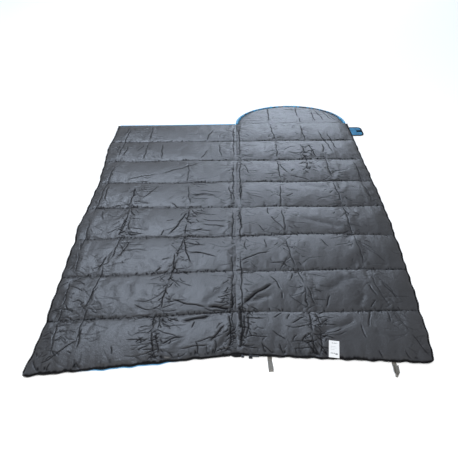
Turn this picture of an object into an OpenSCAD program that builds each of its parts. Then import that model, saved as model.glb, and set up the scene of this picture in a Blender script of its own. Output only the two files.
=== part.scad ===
// Rectangular sleeping bag with a hood, unzipped and laid open as a quilt, lining side up.
// +X runs from the fold seam towards the right-hand zip, +Y towards the head, +Z up.
// The origin is on the floor, under the fold seam, half-way along the bag.

/* [Quilted halves] */
// Width of each half, from the fold seam to the zip seam
half_w = 738; // [600:1:900]
// Length of the bag along its sides with the zip, without the hood
body_l = 1900; // [1600:10:2300]
// How much shorter the fold seam is than the sides, taken off at the foot
foot_sweep = 42; // [10:1:90]
// Thickness of the quilting at the crown of a row
loft = 18; // [14:0.5:24]
// Number of quilted rows from head to foot
rows = 8; // [5:1:11]
// Height of the top face where a quilting line pulls it down
stitch_h = 9; // [7:0.5:10]
// Depth of the valley under a quilting line
groove_h = 4; // [2:0.5:4]
// Half width of the valley under a quilting line
groove_w = 18; // [14:1:24]
// Thickness of the shell and of the lining
skin = 0.8; // [0.5:0.1:1]
// Radius of the two outer foot corners
corner_r = 25; // [15:1:60]

/* [Hood] */
// How far the hood reaches past the head of the bag
hood_l = 280; // [200:5:340]
// Width of the sleeve that carries the drawcord
rim_w = 16; // [13:1:24]
// Diameter of the drawcord
drawcord_d = 4; // [3:0.5:5]

/* [Zip] */
// Width of zip tape that shows outside the seam
tape_w = 10; // [8:0.5:14]
// Width of zip tape sewn into the seam
tape_in = 8; // [5:0.5:12]
// Thickness of the zip tape
tape_t = 0.8; // [0.6:0.1:1]
// Width of one half of the coil
coil_w = 3; // [2.5:0.1:4]
// Height of the coil
coil_h = 2.6; // [2:0.1:3]
// Length of the slider
slider_l = 13; // [10:0.5:18]
// Length of the pull
pull_l = 30; // [20:1:45]

/* [Closing tab] */
// Width of the tab along the side of the bag
tab_w = 118; // [60:1:150]
// Length of the end of the tab that turns over
tab_tip_l = 42; // [40:1:56]
// Thickness of the tab
tab_t = 2.4; // [1.6:0.1:3]
// Distance from the head of the bag to the middle of the tab
tab_from_head = 105; // [80:1:200]

/* [Loops and label] */
// Width of the loop ribbon
ribbon_w = 12; // [8:0.5:16]
// Thickness of the loop ribbon
ribbon_t = 0.8; // [0.6:0.1:1]
// Length of the free part of a hanging loop
loop_l = 50; // [40:1:70]
// Height of the open end of a hanging loop
loop_h = 10; // [9:0.5:14]
// Distance of each hanging loop from the middle of the half
loop_offset = 228; // [150:1:260]
// Width of the care label
label_w = 38; // [25:1:60]
// Length of the care label
label_l = 75; // [50:1:85]

/* [Hidden] */

$fn = 48;
slack = 0.3;                              // room between pieces that move past each other
over = 1;                                 // how far a cutter runs past what it cuts
fold_gap = 0.5;                           // from the fold line to the edge of each half
pivot_z = loft + 0.5;                     // height of the two fold axes, just above the crowns

head_y = body_l / 2;
corner_y = tape_w + coil_w - body_l / 2;
fold_foot_y = corner_y + foot_sweep;
foot_angle = atan(foot_sweep / half_w);
row_l = (head_y - corner_y) / rows;
row_steps = 8;                            // straight stretches across the arch of a row

edge_low = 3;                             // underside of the quilting at a sewn edge
edge_high = stitch_h;                     // top of the quilting at a sewn edge
side_taper = 60;                          // over which the quilting thins to a side seam
foot_taper = 90;                          // over which the quilting thins to the foot seam
under_taper = 50;                         // over which the underside lifts to a seam

tape_z = 6.1;                             // underside of the zip tape
coil_z = tape_z + tape_t / 2;             // middle height of tape, coil and slider
zip_x0 = 16;                              // where the foot stretch of the zip starts
seam_tape_w = 18;
seam_tape_t = 1;

hood_cx = half_w / 2;
hood_base_y = head_y + fold_gap;

// ---- outline of a half -------------------------------------------------------------

// Height Y of the foot seam line at a given X
function foot_y(x) = fold_foot_y - x * tan(foot_angle);

corner_cx = half_w - corner_r;
corner_cy = fold_foot_y + (corner_r - sin(foot_angle) * corner_cx) / cos(foot_angle);

// Line that runs a distance out from the side and foot seams, from the head to x_end
function edge_line(out, x_end, y_end = head_y) = concat(
    [[half_w + out, y_end]],
    [for (i = [0:12])
        let (t = -i * (90 + foot_angle) / 12)
        [corner_cx + (corner_r + out) * cos(t), corner_cy + (corner_r + out) * sin(t)]],
    [[x_end, foot_y(x_end) - out / cos(foot_angle)]]
);

function reversed(list) = [for (i = [len(list) - 1:-1:0]) list[i]];

// Strip between two such lines
module edge_strip(out_1, out_2, x_end, y_end = head_y) {
    polygon(concat(edge_line(out_2, x_end, y_end), reversed(edge_line(out_1, x_end, y_end))));
}

module plate(z_1, z_2) {
    translate([0, 0, z_1]) linear_extrude(z_2 - z_1) children();
}

// Turns a drawing of (distance, height) into a body drawn along +X, with distance along +Y
module along_x(length) {
    rotate([90, 0, 90]) linear_extrude(length) children();
}

// Puts what is drawn in the frame of the foot seam at a given X: +Y in, -Y out, +X to the corner
module at_foot(x) {
    translate([x, foot_y(x), 0]) rotate([0, 0, -foot_angle]) children();
}

module mirrored() {
    mirror([1, 0, 0]) children();
}

// ---- quilting ----------------------------------------------------------------------

function arch(t) = stitch_h + (loft - stitch_h) * pow(sin(180 * t), 0.6);

// Long section through the rows, in (Y, Z), arched above and flat with valleys below
module rows_section(extra) {
    top = [for (r = [0:rows - 1], i = [0:row_steps])
        if (i < row_steps || r == rows - 1)
            [head_y - fold_gap - (r + i / row_steps) * row_l, arch(i / row_steps)]];
    under = [for (r = [rows:-1:0])
        let (y = head_y - fold_gap - r * row_l)
        each [if (r < rows) [y - groove_w, 0], [y, groove_h], if (r > 0) [y + groove_w, 0]]];
    polygon(concat(
        [[head_y - fold_gap + extra, stitch_h]], top,
        [[corner_y - row_l, stitch_h], [corner_y - row_l, groove_h]],
        under, [[head_y - fold_gap + extra, groove_h]]
    ));
}

// Cross section from the fold seam to the side seam, in (X, Z)
module width_section(extra) {
    polygon([
        [fold_gap - extra, groove_h], [fold_gap, groove_h], [under_taper, 0],
        [half_w - under_taper, 0], [half_w, edge_low], [half_w + extra, edge_low],
        [half_w + extra, edge_high], [half_w, edge_high], [half_w - side_taper, loft],
        [side_taper, loft], [fold_gap, stitch_h], [fold_gap - extra, stitch_h]
    ]);
}

// Thinning towards the foot seam, in (distance in from the seam, Z)
module foot_section(extra) {
    inside = body_l * 1.2;
    polygon([
        [-extra, edge_low], [0, edge_low], [under_taper, 0], [inside, 0],
        [inside, loft], [foot_taper, loft], [0, edge_high], [-extra, edge_high]
    ]);
}

// One half as a closed body. With extra, its walls move out so that it can cut cleanly.
module half_body(extra = 0) {
    intersection() {
        translate([-extra, 0, 0]) along_x(half_w + 2 * extra) rows_section(extra);
        translate([0, head_y + row_l, 0]) rotate([90, 0, 0])
            linear_extrude(body_l + 2 * row_l) width_section(extra);
        at_foot(0) translate([-row_l, 0, 0]) along_x(half_w + 2 * row_l) foot_section(extra);
        plate(-over, loft + over) polygon(concat(
            [[fold_gap - extra, head_y - fold_gap + extra]],
            edge_line(extra, fold_gap - extra, head_y - fold_gap + extra)
        ));
    }
}

module half_shell() {
    difference() {
        half_body();
        translate([0, 0, skin]) half_body(over);
    }
}

module half_lining() {
    difference() {
        half_body();
        translate([0, 0, -skin]) half_body(over);
    }
}

// Room for the part of the zip tape that is sewn between shell and lining
module tape_slot() {
    plate(tape_z, tape_z + tape_t) edge_strip(-tape_in, over, zip_x0, head_y + over);
}

module half_filling() {
    difference() {
        intersection() {
            half_body();
            translate([0, 0, skin]) half_body(over);
            translate([0, 0, -skin]) half_body(over);
        }
        tape_slot();
    }
}

// Thread that lies on the lining along each quilting line
module half_stitching() {
    thread_t = 0.5;
    rise = (arch(1 / row_steps) - stitch_h) / (row_l / row_steps);
    thread_lift = rise * thread_t / 2 + 0.01;
    for (r = [1:rows - 1])
        translate([2 * fold_gap, head_y - fold_gap - r * row_l, 0])
            along_x(half_w - 4 * fold_gap)
                translate([-thread_t / 2, stitch_h + thread_lift]) square([thread_t, thread_t]);
}

module right_shell() { color("#2f86b4") half_shell(); }
module right_filling() { color("#e6e6e0") half_filling(); }
module right_lining() { color("#4a4b50") half_lining(); }
module right_quilt_stitching() { color("#26272b") half_stitching(); }
module left_shell() { color("#2f86b4") mirrored() half_shell(); }
module left_filling() { color("#e6e6e0") mirrored() half_filling(); }
module left_lining() { color("#4a4b50") mirrored() half_lining(); }
module left_quilt_stitching() { color("#26272b") mirrored() half_stitching(); }

// Tape over the seam that joins the halves, which is also the line the bag folds on
module fold_seam_tape() {
    color("#1d6a94")
        translate([-seam_tape_w / 2, fold_foot_y + 2, 0])
            cube([seam_tape_w, head_y - fold_foot_y - groove_w - 4, seam_tape_t]);
}

// Tape over the seam between the right half and the hood
module hood_seam_tape() {
    color("#1d6a94")
        translate([seam_tape_w, head_y - seam_tape_w / 2, 0])
            cube([half_w - 3 * seam_tape_w, seam_tape_w, seam_tape_t]);
}

// Binding folded round the head edge of the left half
module left_head_binding() {
    binding_t = 1;
    grip = 9;
    color("#2f86b4") mirrored() difference() {
        intersection() {
            translate([0, head_y - fold_gap - grip, 0]) cube([half_w, grip + fold_gap, loft]);
            for (side = [-1, 1]) translate([0, fold_gap, side * binding_t]) half_body();
        }
        half_body();
        tape_slot();
    }
}

// ---- hood --------------------------------------------------------------------------

// Half ellipse of the hood's rim, a distance in from its outer edge
function hood_point(t, inset) = [
    hood_cx + (hood_cx - inset) * cos(t),
    hood_base_y + (hood_l - inset) * sin(t)
];
function hood_line(inset, t_1 = 0, t_2 = 180) =
    [for (i = [0:32]) hood_point(t_1 + (t_2 - t_1) * i / 32, inset)];

// Filled D, a distance in from the rim and from the seam that joins the hood to the bag
module hood_plan(inset, from_seam) {
    line = hood_line(inset);
    polygon([for (p = line) [p.x, max(p.y, hood_base_y + from_seam)]]);
}

// The padded part of the hood as a closed body, grown outwards by extra so that it can cut cleanly
module hood_body(extra = 0) {
    hull() {
        plate(edge_low, edge_high) hood_plan(rim_w - extra, 0);
        plate(edge_low, edge_high) translate([0, -extra, 0]) hood_plan(rim_w, 0);
        plate(0, loft) hood_plan(rim_w + side_taper, groove_w);
    }
}

module hood_shell() {
    color("#2f86b4") difference() {
        hood_body();
        translate([0, 0, skin]) hood_body(over);
    }
}

module hood_lining() {
    color("#4a4b50") difference() {
        hood_body();
        translate([0, 0, -skin]) hood_body(over);
    }
}

module hood_filling() {
    color("#e6e6e0") intersection() {
        hood_body();
        translate([0, 0, skin]) hood_body(over);
        translate([0, 0, -skin]) hood_body(over);
    }
}

sleeve_wall = 1;
tunnel_h = drawcord_d + 2 * slack;
sleeve_z = coil_z - tunnel_h / 2 - sleeve_wall;

// Middle line of the drawcord, and of the tunnel that runs a little further at both ends
function cord_line(inset) = hood_line(inset, 4, 176);
function tunnel_line(inset) =
    concat([hood_point(2, inset)], cord_line(inset), [hood_point(178, inset)]);

// Gathered sleeve round the rim of the hood, closed at both ends
module hood_rim_sleeve() {
    middle = rim_w / 2;
    color("#2f86b4") difference() {
        plate(sleeve_z, sleeve_z + tunnel_h + 2 * sleeve_wall)
            polygon(concat(hood_line(0), reversed(hood_line(rim_w))));
        plate(sleeve_z + sleeve_wall, sleeve_z + sleeve_wall + tunnel_h)
            polygon(concat(
                tunnel_line(middle - tunnel_h / 2),
                reversed(tunnel_line(middle + tunnel_h / 2))
            ));
    }
}

// Sweeps a round section along level points as one closed surface
module swept_cord(points, diameter, sides = 8) {
    last = len(points) - 1;
    ring = [for (i = [0:last])
        let (ahead = points[min(i + 1, last)], behind = points[max(i - 1, 0)],
             way = ahead - behind, across = [-way.y, way.x] / norm(way))
        for (k = [0:sides - 1])
            let (t = 360 * k / sides)
            [points[i].x + across.x * cos(t) * diameter / 2,
             points[i].y + across.y * cos(t) * diameter / 2,
             coil_z + sin(t) * diameter / 2]];
    walls = [for (i = [0:last - 1], k = [0:sides - 1])
        let (a = i * sides + k, b = i * sides + (k + 1) % sides)
        each [[a, b, b + sides], [a, b + sides, a + sides]]];
    start_cap = [for (k = [1:sides - 2]) [0, k + 1, k]];
    end_cap = [for (k = [1:sides - 2]) [last * sides, last * sides + k, last * sides + k + 1]];
    polyhedron(ring, concat(walls, start_cap, end_cap));
}

module hood_drawcord() {
    color("#17181a") swept_cord(cord_line(rim_w / 2), drawcord_d);
}

// ---- zip ---------------------------------------------------------------------------

box_l = 9;
box_w = 9;
box_h = 4.4;
stop_l = 4;

module zip_tape() {
    color("#141416") plate(tape_z, tape_z + tape_t) edge_strip(-tape_in, tape_w, zip_x0);
}

module zip_coil() {
    color("#0c0c0d")
        plate(coil_z - coil_h / 2, coil_z + coil_h / 2)
            edge_strip(tape_w, tape_w + coil_w, zip_x0 + box_l, head_y - stop_l);
}

// Small metal clip that closes the head end of the coil
module zip_stop() {
    color("#3c3d40")
        translate([half_w + tape_w, head_y - stop_l, coil_z - coil_h / 2 - 0.4])
            cube([coil_w + 1, stop_l, coil_h + 0.8]);
}

module right_zip_tape() { zip_tape(); }
module right_zip_coil() { zip_coil(); }
module right_zip_stop() { zip_stop(); }
module left_zip_tape() { mirrored() zip_tape(); }
module left_zip_coil() { mirrored() zip_coil(); }
module left_zip_stop() { mirrored() zip_stop(); }

// Box at the start of the right-hand coil that receives the pin
module zip_retainer_box() {
    pin_hole_r = 1.3;
    color("#3c3d40") at_foot(zip_x0) difference() {
        translate([-1, -tape_w - box_w, coil_z - box_h / 2]) cube([box_l, box_w, box_h]);
        translate([-1 - over, -tape_w - box_w + 3, coil_z]) rotate([0, 90, 0])
            cylinder(r = pin_hole_r, h = box_l - 1);
    }
}

// Pin at the start of the left-hand coil that plugs into the box
module zip_insertion_pin() {
    pin_r = 1.2;
    pin_l = 12;
    color("#3c3d40") mirrored() at_foot(zip_x0) {
        translate([-4, -tape_w - pin_r, coil_z]) rotate([0, 90, 0])
            cylinder(r = pin_r, h = pin_l);
    }
}

slider_x = 48;                            // where the slider is parked along the foot seam
slider_in = 2;                            // how far the slider reaches over the tape
plate_t = 1.2;
slider_half_h = coil_h / 2 + slack;
channel_w = coil_w + 2 * slack;
post_w = 2.4;
slider_w = 2 * (slider_in + channel_w) + post_w;
slider_top = coil_z + slider_half_h + plate_t;
pivot_r = 0.6;
pull_z = slider_top + 0.5 + pivot_r;
bail_reach = 4;                           // from the pull's pivot to the bail's posts

module along_slider(z_1, z_2, out_1, out_2, x_1, x_2) {
    translate([x_1, -out_2, z_1]) cube([x_2 - x_1, out_2 - out_1, z_2 - z_1]);
}

// Slider: two plates joined by a post, rims that grip the tape, and a bail for the pull
module zip_slider() {
    out_0 = tape_w - slider_in;
    post_out = tape_w + coil_w + 2 * slack;
    half_l = slider_l / 2;
    rim_gap = tape_t / 2 + slack;
    color("#2c2d30") at_foot(slider_x) {
        along_slider(coil_z + slider_half_h, slider_top, out_0, out_0 + slider_w, -half_l, half_l);
        along_slider(coil_z - slider_half_h - plate_t, coil_z - slider_half_h,
            out_0, out_0 + slider_w, -half_l, half_l);
        along_slider(coil_z - slider_half_h, coil_z + slider_half_h,
            post_out, post_out + post_w, 0, half_l);
        along_slider(coil_z + rim_gap, coil_z + slider_half_h, out_0, out_0 + 1, -half_l, half_l);
        along_slider(coil_z - slider_half_h, coil_z - rim_gap, out_0, out_0 + 1, -half_l, half_l);
        along_slider(slider_top, pull_z + pivot_r + 1.6, post_out + 0.2, post_out + post_w - 0.2,
            -bail_reach, 1 - bail_reach);
        along_slider(slider_top, pull_z + pivot_r + 1.6, post_out + 0.2, post_out + post_w - 0.2,
            bail_reach - 1, bail_reach);
        along_slider(pull_z + pivot_r + 0.6, pull_z + pivot_r + 1.6,
            post_out + 0.2, post_out + post_w - 0.2, -bail_reach, bail_reach);
    }
}

// Pull: a flat tongue whose round pivot bar lies under the slider's bail
module zip_pull() {
    mid_out = tape_w + coil_w + 2 * slack + post_w / 2;
    arm_w = 1.4;
    arm_gap = post_w / 2 + slack + 0.3;
    tongue_x = bail_reach + 1;
    color("#2c2d30") at_foot(slider_x) translate([0, -mid_out, pull_z]) {
        translate([0, -arm_gap - arm_w, 0]) rotate([-90, 0, 0])
            cylinder(r = pivot_r, h = 2 * (arm_gap + arm_w));
        for (side = [-1, 1])
            translate([0, side > 0 ? arm_gap : -arm_gap - arm_w, -pivot_r])
                cube([tongue_x + 1, arm_w, 2 * pivot_r]);
        difference() {
            translate([tongue_x, -arm_gap - arm_w, -pivot_r])
                cube([pull_l - tongue_x, 2 * (arm_gap + arm_w), 2 * pivot_r]);
            translate([pull_l - 4, 0, -pivot_r - over]) cylinder(r = 1.5, h = 2 * pivot_r + 2 * over);
        }
    }
}

// ---- closing tab -------------------------------------------------------------------

tab_z = 2.3;                              // underside of the tab, which passes under the coil
tab_y = head_y - tab_from_head - tab_w / 2;
tab_hinge_x = half_w + tape_w + coil_w + 2;
tab_hinge_z = tab_z + tab_t + 0.1;
tab_rise = 0.7;                           // by which the turned tip clears the closed bag
// The root stands as high as the closed bag, so that the tip turns over on top of it
tab_root_l = 2 * pivot_z - tab_hinge_z + tab_rise;
tab_turn_x = tab_hinge_x + tab_root_l;
tab_end_x = tab_turn_x + tab_tip_l;
tab_round = 28;
binding_w = 3.5;
patch_l = 34;
patch_w = 22;
patch_t = 0.8;

// Tab outline between two X places, a distance in from its edges, rounded at the far end
module tab_plan(x_1, x_2, inset, radius) {
    y_1 = tab_y + inset;
    y_2 = tab_y + tab_w - inset;
    polygon(concat(
        [[x_1, y_2], [x_1, y_1]],
        radius > 0
            ? [for (i = [0:6]) [x_2 - radius + radius * sin(15 * i), y_1 + radius - radius * cos(15 * i)]]
            : [[x_2, y_1]],
        radius > 0
            ? [for (i = [0:6]) [x_2 - radius + radius * cos(15 * i), y_2 - radius + radius * sin(15 * i)]]
            : [[x_2, y_2]]
    ));
}

// Sewn end of the tab, which stays with the side seam under the zip tape
module tab_anchor() {
    color("#2f86b4") plate(tab_z, tab_z + tab_t)
        tab_plan(half_w, tab_hinge_x - 0.1, 0, 0);
}

module tab_root() {
    color("#2f86b4") plate(tab_z, tab_z + tab_t)
        tab_plan(tab_hinge_x + 0.2, tab_turn_x - 0.1, binding_w, 0);
}

module tab_root_binding() {
    color("#17181a") plate(tab_z, tab_z + tab_t) difference() {
        tab_plan(tab_hinge_x + 0.2, tab_turn_x - 0.1, 0, 0);
        tab_plan(tab_hinge_x - over, tab_turn_x + over, binding_w, 0);
    }
}

module tab_tip() {
    color("#2f86b4") plate(tab_z, tab_z + tab_t)
        tab_plan(tab_turn_x + 0.2, tab_end_x - binding_w, binding_w, tab_round - binding_w);
}

module tab_tip_binding() {
    color("#17181a") plate(tab_z, tab_z + tab_t) difference() {
        tab_plan(tab_turn_x + 0.2, tab_end_x, 0, tab_round);
        tab_plan(tab_turn_x - over, tab_end_x - binding_w, binding_w, tab_round - binding_w);
    }
}

patch_from_turn = 2.5;

module tab_hook_patch() {
    color("#101012")
        translate([tab_turn_x + patch_from_turn, tab_y + (tab_w - patch_w) / 2, tab_z + tab_t])
            cube([patch_l, patch_w, patch_t]);
}

// Soft half of the fastener, under the side edge of the left shell where the tab lands
module left_loop_patch() {
    patch_x = tab_hinge_x - patch_from_turn - patch_l + tab_t;
    far_x = half_w - 2;
    near_z = edge_low * (1 - (half_w - patch_x) / under_taper);
    color("#101012") mirrored() translate([0, tab_y + (tab_w - patch_w) / 2 + patch_w, 0])
        rotate([90, 0, 0]) linear_extrude(patch_w) polygon([
            [patch_x, near_z], [far_x, edge_low * (1 - 2 / under_taper)],
            [far_x, edge_low * (1 - 2 / under_taper) - patch_t],
            [patch_x, max(0.05, near_z - patch_t)]
        ]);
}

// ---- hanging loops and label -------------------------------------------------------

loop_z = 0.2;
loop_hinge_out = tape_w - slider_in + slider_w + 2;
loop_xs = [half_w / 2 - loop_offset, half_w / 2 + loop_offset];

// Sewn end of a loop: two layers of ribbon that drop from the seam and pass under the zip
module loop_anchor_at(x) {
    drop = tape_w - slider_in - 1;
    two = 2 * ribbon_t;
    at_foot(x) translate([-ribbon_w / 2, 0, 0]) along_x(ribbon_w) polygon([
        [0, edge_low + two + 0.1], [0, edge_low + 0.1], [-drop, loop_z],
        [-loop_hinge_out + 0.1, loop_z], [-loop_hinge_out + 0.1, loop_z + two],
        [-drop, loop_z + two]
    ]);
}

module loop_anchors() {
    color("#b9b6ae") for (x = loop_xs) loop_anchor_at(x);
}

// Free part of a loop: the ribbon opens into a drop shape and turns back at its end
module hang_loop(x) {
    end_r = loop_h / 2;
    bend_y = -loop_l + end_r;
    split_y = -9;
    color("#b9b6ae") at_foot(x)
        translate([-ribbon_w / 2, -loop_hinge_out, loop_z]) along_x(ribbon_w) difference() {
            polygon(concat(
                [[-0.2, 2 * ribbon_t], [-0.2, 0]],
                [for (i = [0:12]) [bend_y - end_r * sin(15 * i), end_r - end_r * cos(15 * i)]],
                [[split_y + 1, 2 * ribbon_t]]
            ));
            polygon(concat(
                [[split_y, ribbon_t]],
                [for (i = [0:12]) [bend_y - (end_r - ribbon_t) * sin(15 * i),
                    end_r - (end_r - ribbon_t) * cos(15 * i)]]
            ));
        }
}

module hang_loop_inner() { hang_loop(loop_xs[0]); }
module hang_loop_outer() { hang_loop(loop_xs[1]); }

// Label sewn into the foot seam, lying on the thinning edge of the lining
module care_label() {
    label_t = 0.5;
    slope = atan((loft - edge_high) / foot_taper);
    color("#f2f2f0") at_foot(half_w / 2)
        translate([-label_w / 2, 0, edge_high + slack]) rotate([slope, 0, 0])
            translate([0, 0.5, 0]) cube([label_w, label_l, label_t]);
}

// ---- nodes -------------------------------------------------------------------------

right_shell();
right_filling();
right_lining();
right_quilt_stitching();
left_shell();
left_filling();
left_lining();
left_quilt_stitching();
fold_seam_tape();
hood_seam_tape();
left_head_binding();
hood_shell();
hood_filling();
hood_lining();
hood_rim_sleeve();
hood_drawcord();
right_zip_tape();
right_zip_coil();
right_zip_stop();
zip_retainer_box();
left_zip_tape();
left_zip_coil();
left_zip_stop();
zip_insertion_pin();
zip_slider();
zip_pull();
tab_anchor();
tab_root();
tab_root_binding();
tab_tip();
tab_tip_binding();
tab_hook_patch();
left_loop_patch();
loop_anchors();
hang_loop_inner();
hang_loop_outer();
care_label();
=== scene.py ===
import math
import bpy
import numpy as np
from mathutils import Matrix, Vector, noise


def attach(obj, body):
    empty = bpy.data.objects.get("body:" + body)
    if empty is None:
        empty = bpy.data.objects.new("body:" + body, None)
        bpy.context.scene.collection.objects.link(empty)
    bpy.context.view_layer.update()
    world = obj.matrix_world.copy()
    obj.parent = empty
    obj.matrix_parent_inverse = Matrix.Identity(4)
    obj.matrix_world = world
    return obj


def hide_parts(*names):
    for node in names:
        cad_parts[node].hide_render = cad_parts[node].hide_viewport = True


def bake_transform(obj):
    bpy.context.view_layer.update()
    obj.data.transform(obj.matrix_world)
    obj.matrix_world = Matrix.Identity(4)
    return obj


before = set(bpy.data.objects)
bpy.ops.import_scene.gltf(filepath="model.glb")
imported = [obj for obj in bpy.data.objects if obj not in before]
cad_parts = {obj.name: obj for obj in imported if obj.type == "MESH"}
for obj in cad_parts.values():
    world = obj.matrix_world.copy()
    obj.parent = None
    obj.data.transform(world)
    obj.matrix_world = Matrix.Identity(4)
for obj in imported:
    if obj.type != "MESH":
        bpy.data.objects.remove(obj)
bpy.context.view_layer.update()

# ---- Viewpoint, floor and light --------------------------------------------------
# Someone stands at the foot and looks down along the opened bag. The floor is plain
# white, and a large soft light beyond the head end gives the lining its slanting sheen.


def linear(hex_colour):
    """A colour written as an sRGB hex value, as the linear one that a shader takes."""
    parts = [int(hex_colour[i:i + 2], 16) / 255 for i in (1, 3, 5)]
    return tuple(c / 12.92 if c <= 0.04045 else ((c + 0.055) / 1.055) ** 2.4 for c in parts) + (1,)


def fill(tree, node, **inputs):
    """Fills the inputs of a node with values or links. _0 means its first input."""
    for name, value in inputs.items():
        socket = node.inputs[int(name[1:]) if name[1:].isdigit() else name.replace("_", " ")]
        if isinstance(value, bpy.types.NodeSocket):
            tree.links.new(value, socket)
        else:
            socket.default_value = value


def finish_named(name):
    """A new empty material with its shader, for a finish to be built in."""
    material = bpy.data.materials.new(name)
    material.use_nodes = True
    shader = material.node_tree.nodes["Principled BSDF"]
    return material, material.node_tree, shader


scene = bpy.context.scene
scene.view_settings.view_transform = "Standard"

eye = (-0.0185, -2.0126, 1.4286)
looks_down, turned, leans = 0.657, 0.0051, -0.0123
camera_data = bpy.data.cameras.new("viewpoint")
camera_data.sensor_width = 36
camera_data.lens = 38.48
camera_data.clip_end = 60
camera = bpy.data.objects.new("viewpoint", camera_data)
scene.collection.objects.link(camera)
camera.matrix_world = (
    Matrix.Translation(eye) @ Matrix.Rotation(turned, 4, "Z")
    @ Matrix.Rotation(math.pi / 2 - looks_down, 4, "X") @ Matrix.Rotation(leans, 4, "Z")
)
scene.camera = camera

bpy.ops.object.select_all(action="DESELECT")
bpy.ops.mesh.primitive_plane_add(size=30, location=(0, 0, 0))
floor = bpy.context.object
floor.name = "floor"
white_paint, tree, shader = finish_named("matt white floor paint")
fill(tree, shader, Base_Color=linear("#f0f0f0"), Roughness=0.9, Specular_IOR_Level=0.1)
floor.data.materials.append(white_paint)

world = bpy.data.worlds.new("studio")
scene.world = world
world.use_nodes = True
background = world.node_tree.nodes["Background"]
fill(world.node_tree, background, Color=(1, 1, 1, 1), Strength=0.29)


def softbox(name, place, aim, size, power, colour="#ffffff"):
    """A square soft light at a place, turned to what it is aimed at."""
    light = bpy.data.lights.new(name, "AREA")
    light.shape = "RECTANGLE"
    light.size, light.size_y = size
    light.energy = power
    light.color = linear(colour)[:3]
    lamp = bpy.data.objects.new(name, light)
    scene.collection.objects.link(lamp)
    lamp.location = place
    lamp.rotation_euler = (Vector(aim) - Vector(place)).to_track_quat("-Z", "Y").to_euler()


softbox("window_beyond_head", (-1.65, 5.3, 6.3), (-0.3, -0.4, 0), (2.3, 1.7), 350, "#dae8fc")
softbox("low_window_beyond_hood", (1.2, 7.4, 2.9), (0.4, 0.9, 0), (2.7, 1.0), 165, "#dae8fc")
softbox("fill_behind_eye", (-0.8, -4.6, 5.2), (0, 0, 0), (3.4, 3.4), 540)

# ---- Right and left quilted pads: lining over filling ------------------------------
# Each half is a lining of plain dark polyester taffeta, stitched through the wadding and
# the shell in seven lines across, so that eight rows puff up between them. It was packed
# folded, which pressed long creases into it, with short broken wrinkles beside them.

mm = 0.001
half_w, head_y = 738 * mm, 949.5 * mm
fold_foot_y, foot_slope = -0.895, 42 / 738
rows, row_l = 8, 235.875 * mm
stitch_z, loft, seam_fill = 9 * mm, 18 * mm, 6.8 * mm
# the lining's top is kept between these heights
lining_low, lining_high = 0.0062, 0.0262


def unit(values):
    """The values, kept from 0 to 1."""
    return np.clip(values, 0, 1)


def eased(t):
    """0 to 1 with a soft start and a soft end."""
    return t * t * (3 - 2 * t)


def foot_y(x):
    """Where the foot seam of a half is, at a distance from the fold."""
    return fold_foot_y - np.abs(x) * foot_slope


def lay(points):
    """The way the bag was thrown down: its sides drawn in, and the fold line a little bowed.
    Every sewn piece goes through this, so that they stay together."""
    p = np.array(points, float)
    x, y = p[..., 0].copy(), p[..., 1].copy()
    right = x >= 0
    # 0 at the fold, 1 at the zip
    out = np.clip(np.abs(x) / 0.751, 0, 1.04)
    # the right side is drawn in towards the foot, and the left one spread and dropped
    drawn = unit((0.3 - y) / 1.25) ** 2.4 * 0.056
    spread = unit((0.1 - y) / 1.05) * 0.014
    dropped = eased(unit((0.05 - y) / 0.75)) * 0.043
    bow = 0.020 * unit((np.clip(y, None, 0.95) + 0.5) / 1.45)
    waist = 0.006 * np.exp(-((y + 0.02) / 0.4) ** 2)
    flare = unit((-0.80 - y) / 0.137) ** 1.4 * 0.020 - 0.003 * unit((-0.5 - y) / 0.2)
    # each stitched line pinches the sides in, and the left one waves
    row_place = (head_y - y) / row_l
    between_lines = np.abs(np.sin(np.pi * np.clip(row_place, 0, 8)))
    pinch = 0.0042 * (1 - between_lines) * unit((0.75 - y) / 0.2)
    wave = 0.012 * np.sin(2 * np.pi * (y - 0.47)) * unit((y + 0.25) / 0.1) * unit((0.79 - y) / 0.12)
    # small ripples along the sides and the foot
    near_side = unit((np.abs(x) - 0.70) / 0.035)
    ripple = 0.0014 * np.sin(y * 83) + 0.0012 * np.sin(y * 39 + 1.0)
    p[..., 0] += near_side * ripple * unit((0.75 - y) / 0.1) * np.where(right, 1, -1)
    near_foot = unit((foot_y(x) + 0.035 - y) / 0.035) * unit((np.abs(x) - 0.09) / 0.05)
    p[..., 1] += near_foot * (0.0016 * np.sin(x * 71) + 0.0012 * np.sin(x * 127 + 2.0))
    moved_right = (waist - drawn - 0.7 * pinch) * out
    moved_left = (spread + pinch - wave) * out ** 3
    p[..., 0] += np.where(right, moved_right, moved_left)
    p[..., 0] -= np.where(right, 0, flare) * out ** 3
    p[..., 0] += bow * (1 - unit(out))
    p[..., 1] -= np.where(right, 0, dropped * out)
    # the stitched lines wander a little between the fold and the side
    across = np.sin(np.pi * unit(np.abs(x) / half_w))
    inside = across * unit((0.9 - y) / 0.2) * unit((y + 0.85) / 0.15)
    pulled = np.where(right, 0.010 * np.exp(-((y + 0.23) / 0.1) ** 2), 0)
    p[..., 1] += inside * (0.004 * np.sin(9 * x + 7 * y) + pulled)
    return p


def laid_at(x, y):
    """Where one place in plan is once the bag is thrown down."""
    return lay(np.array([[x, y, 0]]))[0, :2]


def refined(a, times):
    """More points along the first axis, on one smooth curve through the given ones."""
    ends = np.concatenate([2 * a[:1] - a[1:2], a, 2 * a[-1:] - a[-2:-1]])
    p0, p1, p2, p3 = ends[:-3], ends[1:-2], ends[2:-1], ends[3:]
    b, c, d = p2 - p0, 2 * p0 - 5 * p1 + 4 * p2 - p3, 3 * p1 - p0 - 3 * p2 + p3
    between = [0.5 * (2 * p1 + b * t + c * t * t + d * t ** 3) for t in np.arange(times) / times]
    return np.concatenate([np.stack(between, 1).reshape(-1, *a.shape[1:]), a[-1:]])


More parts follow.
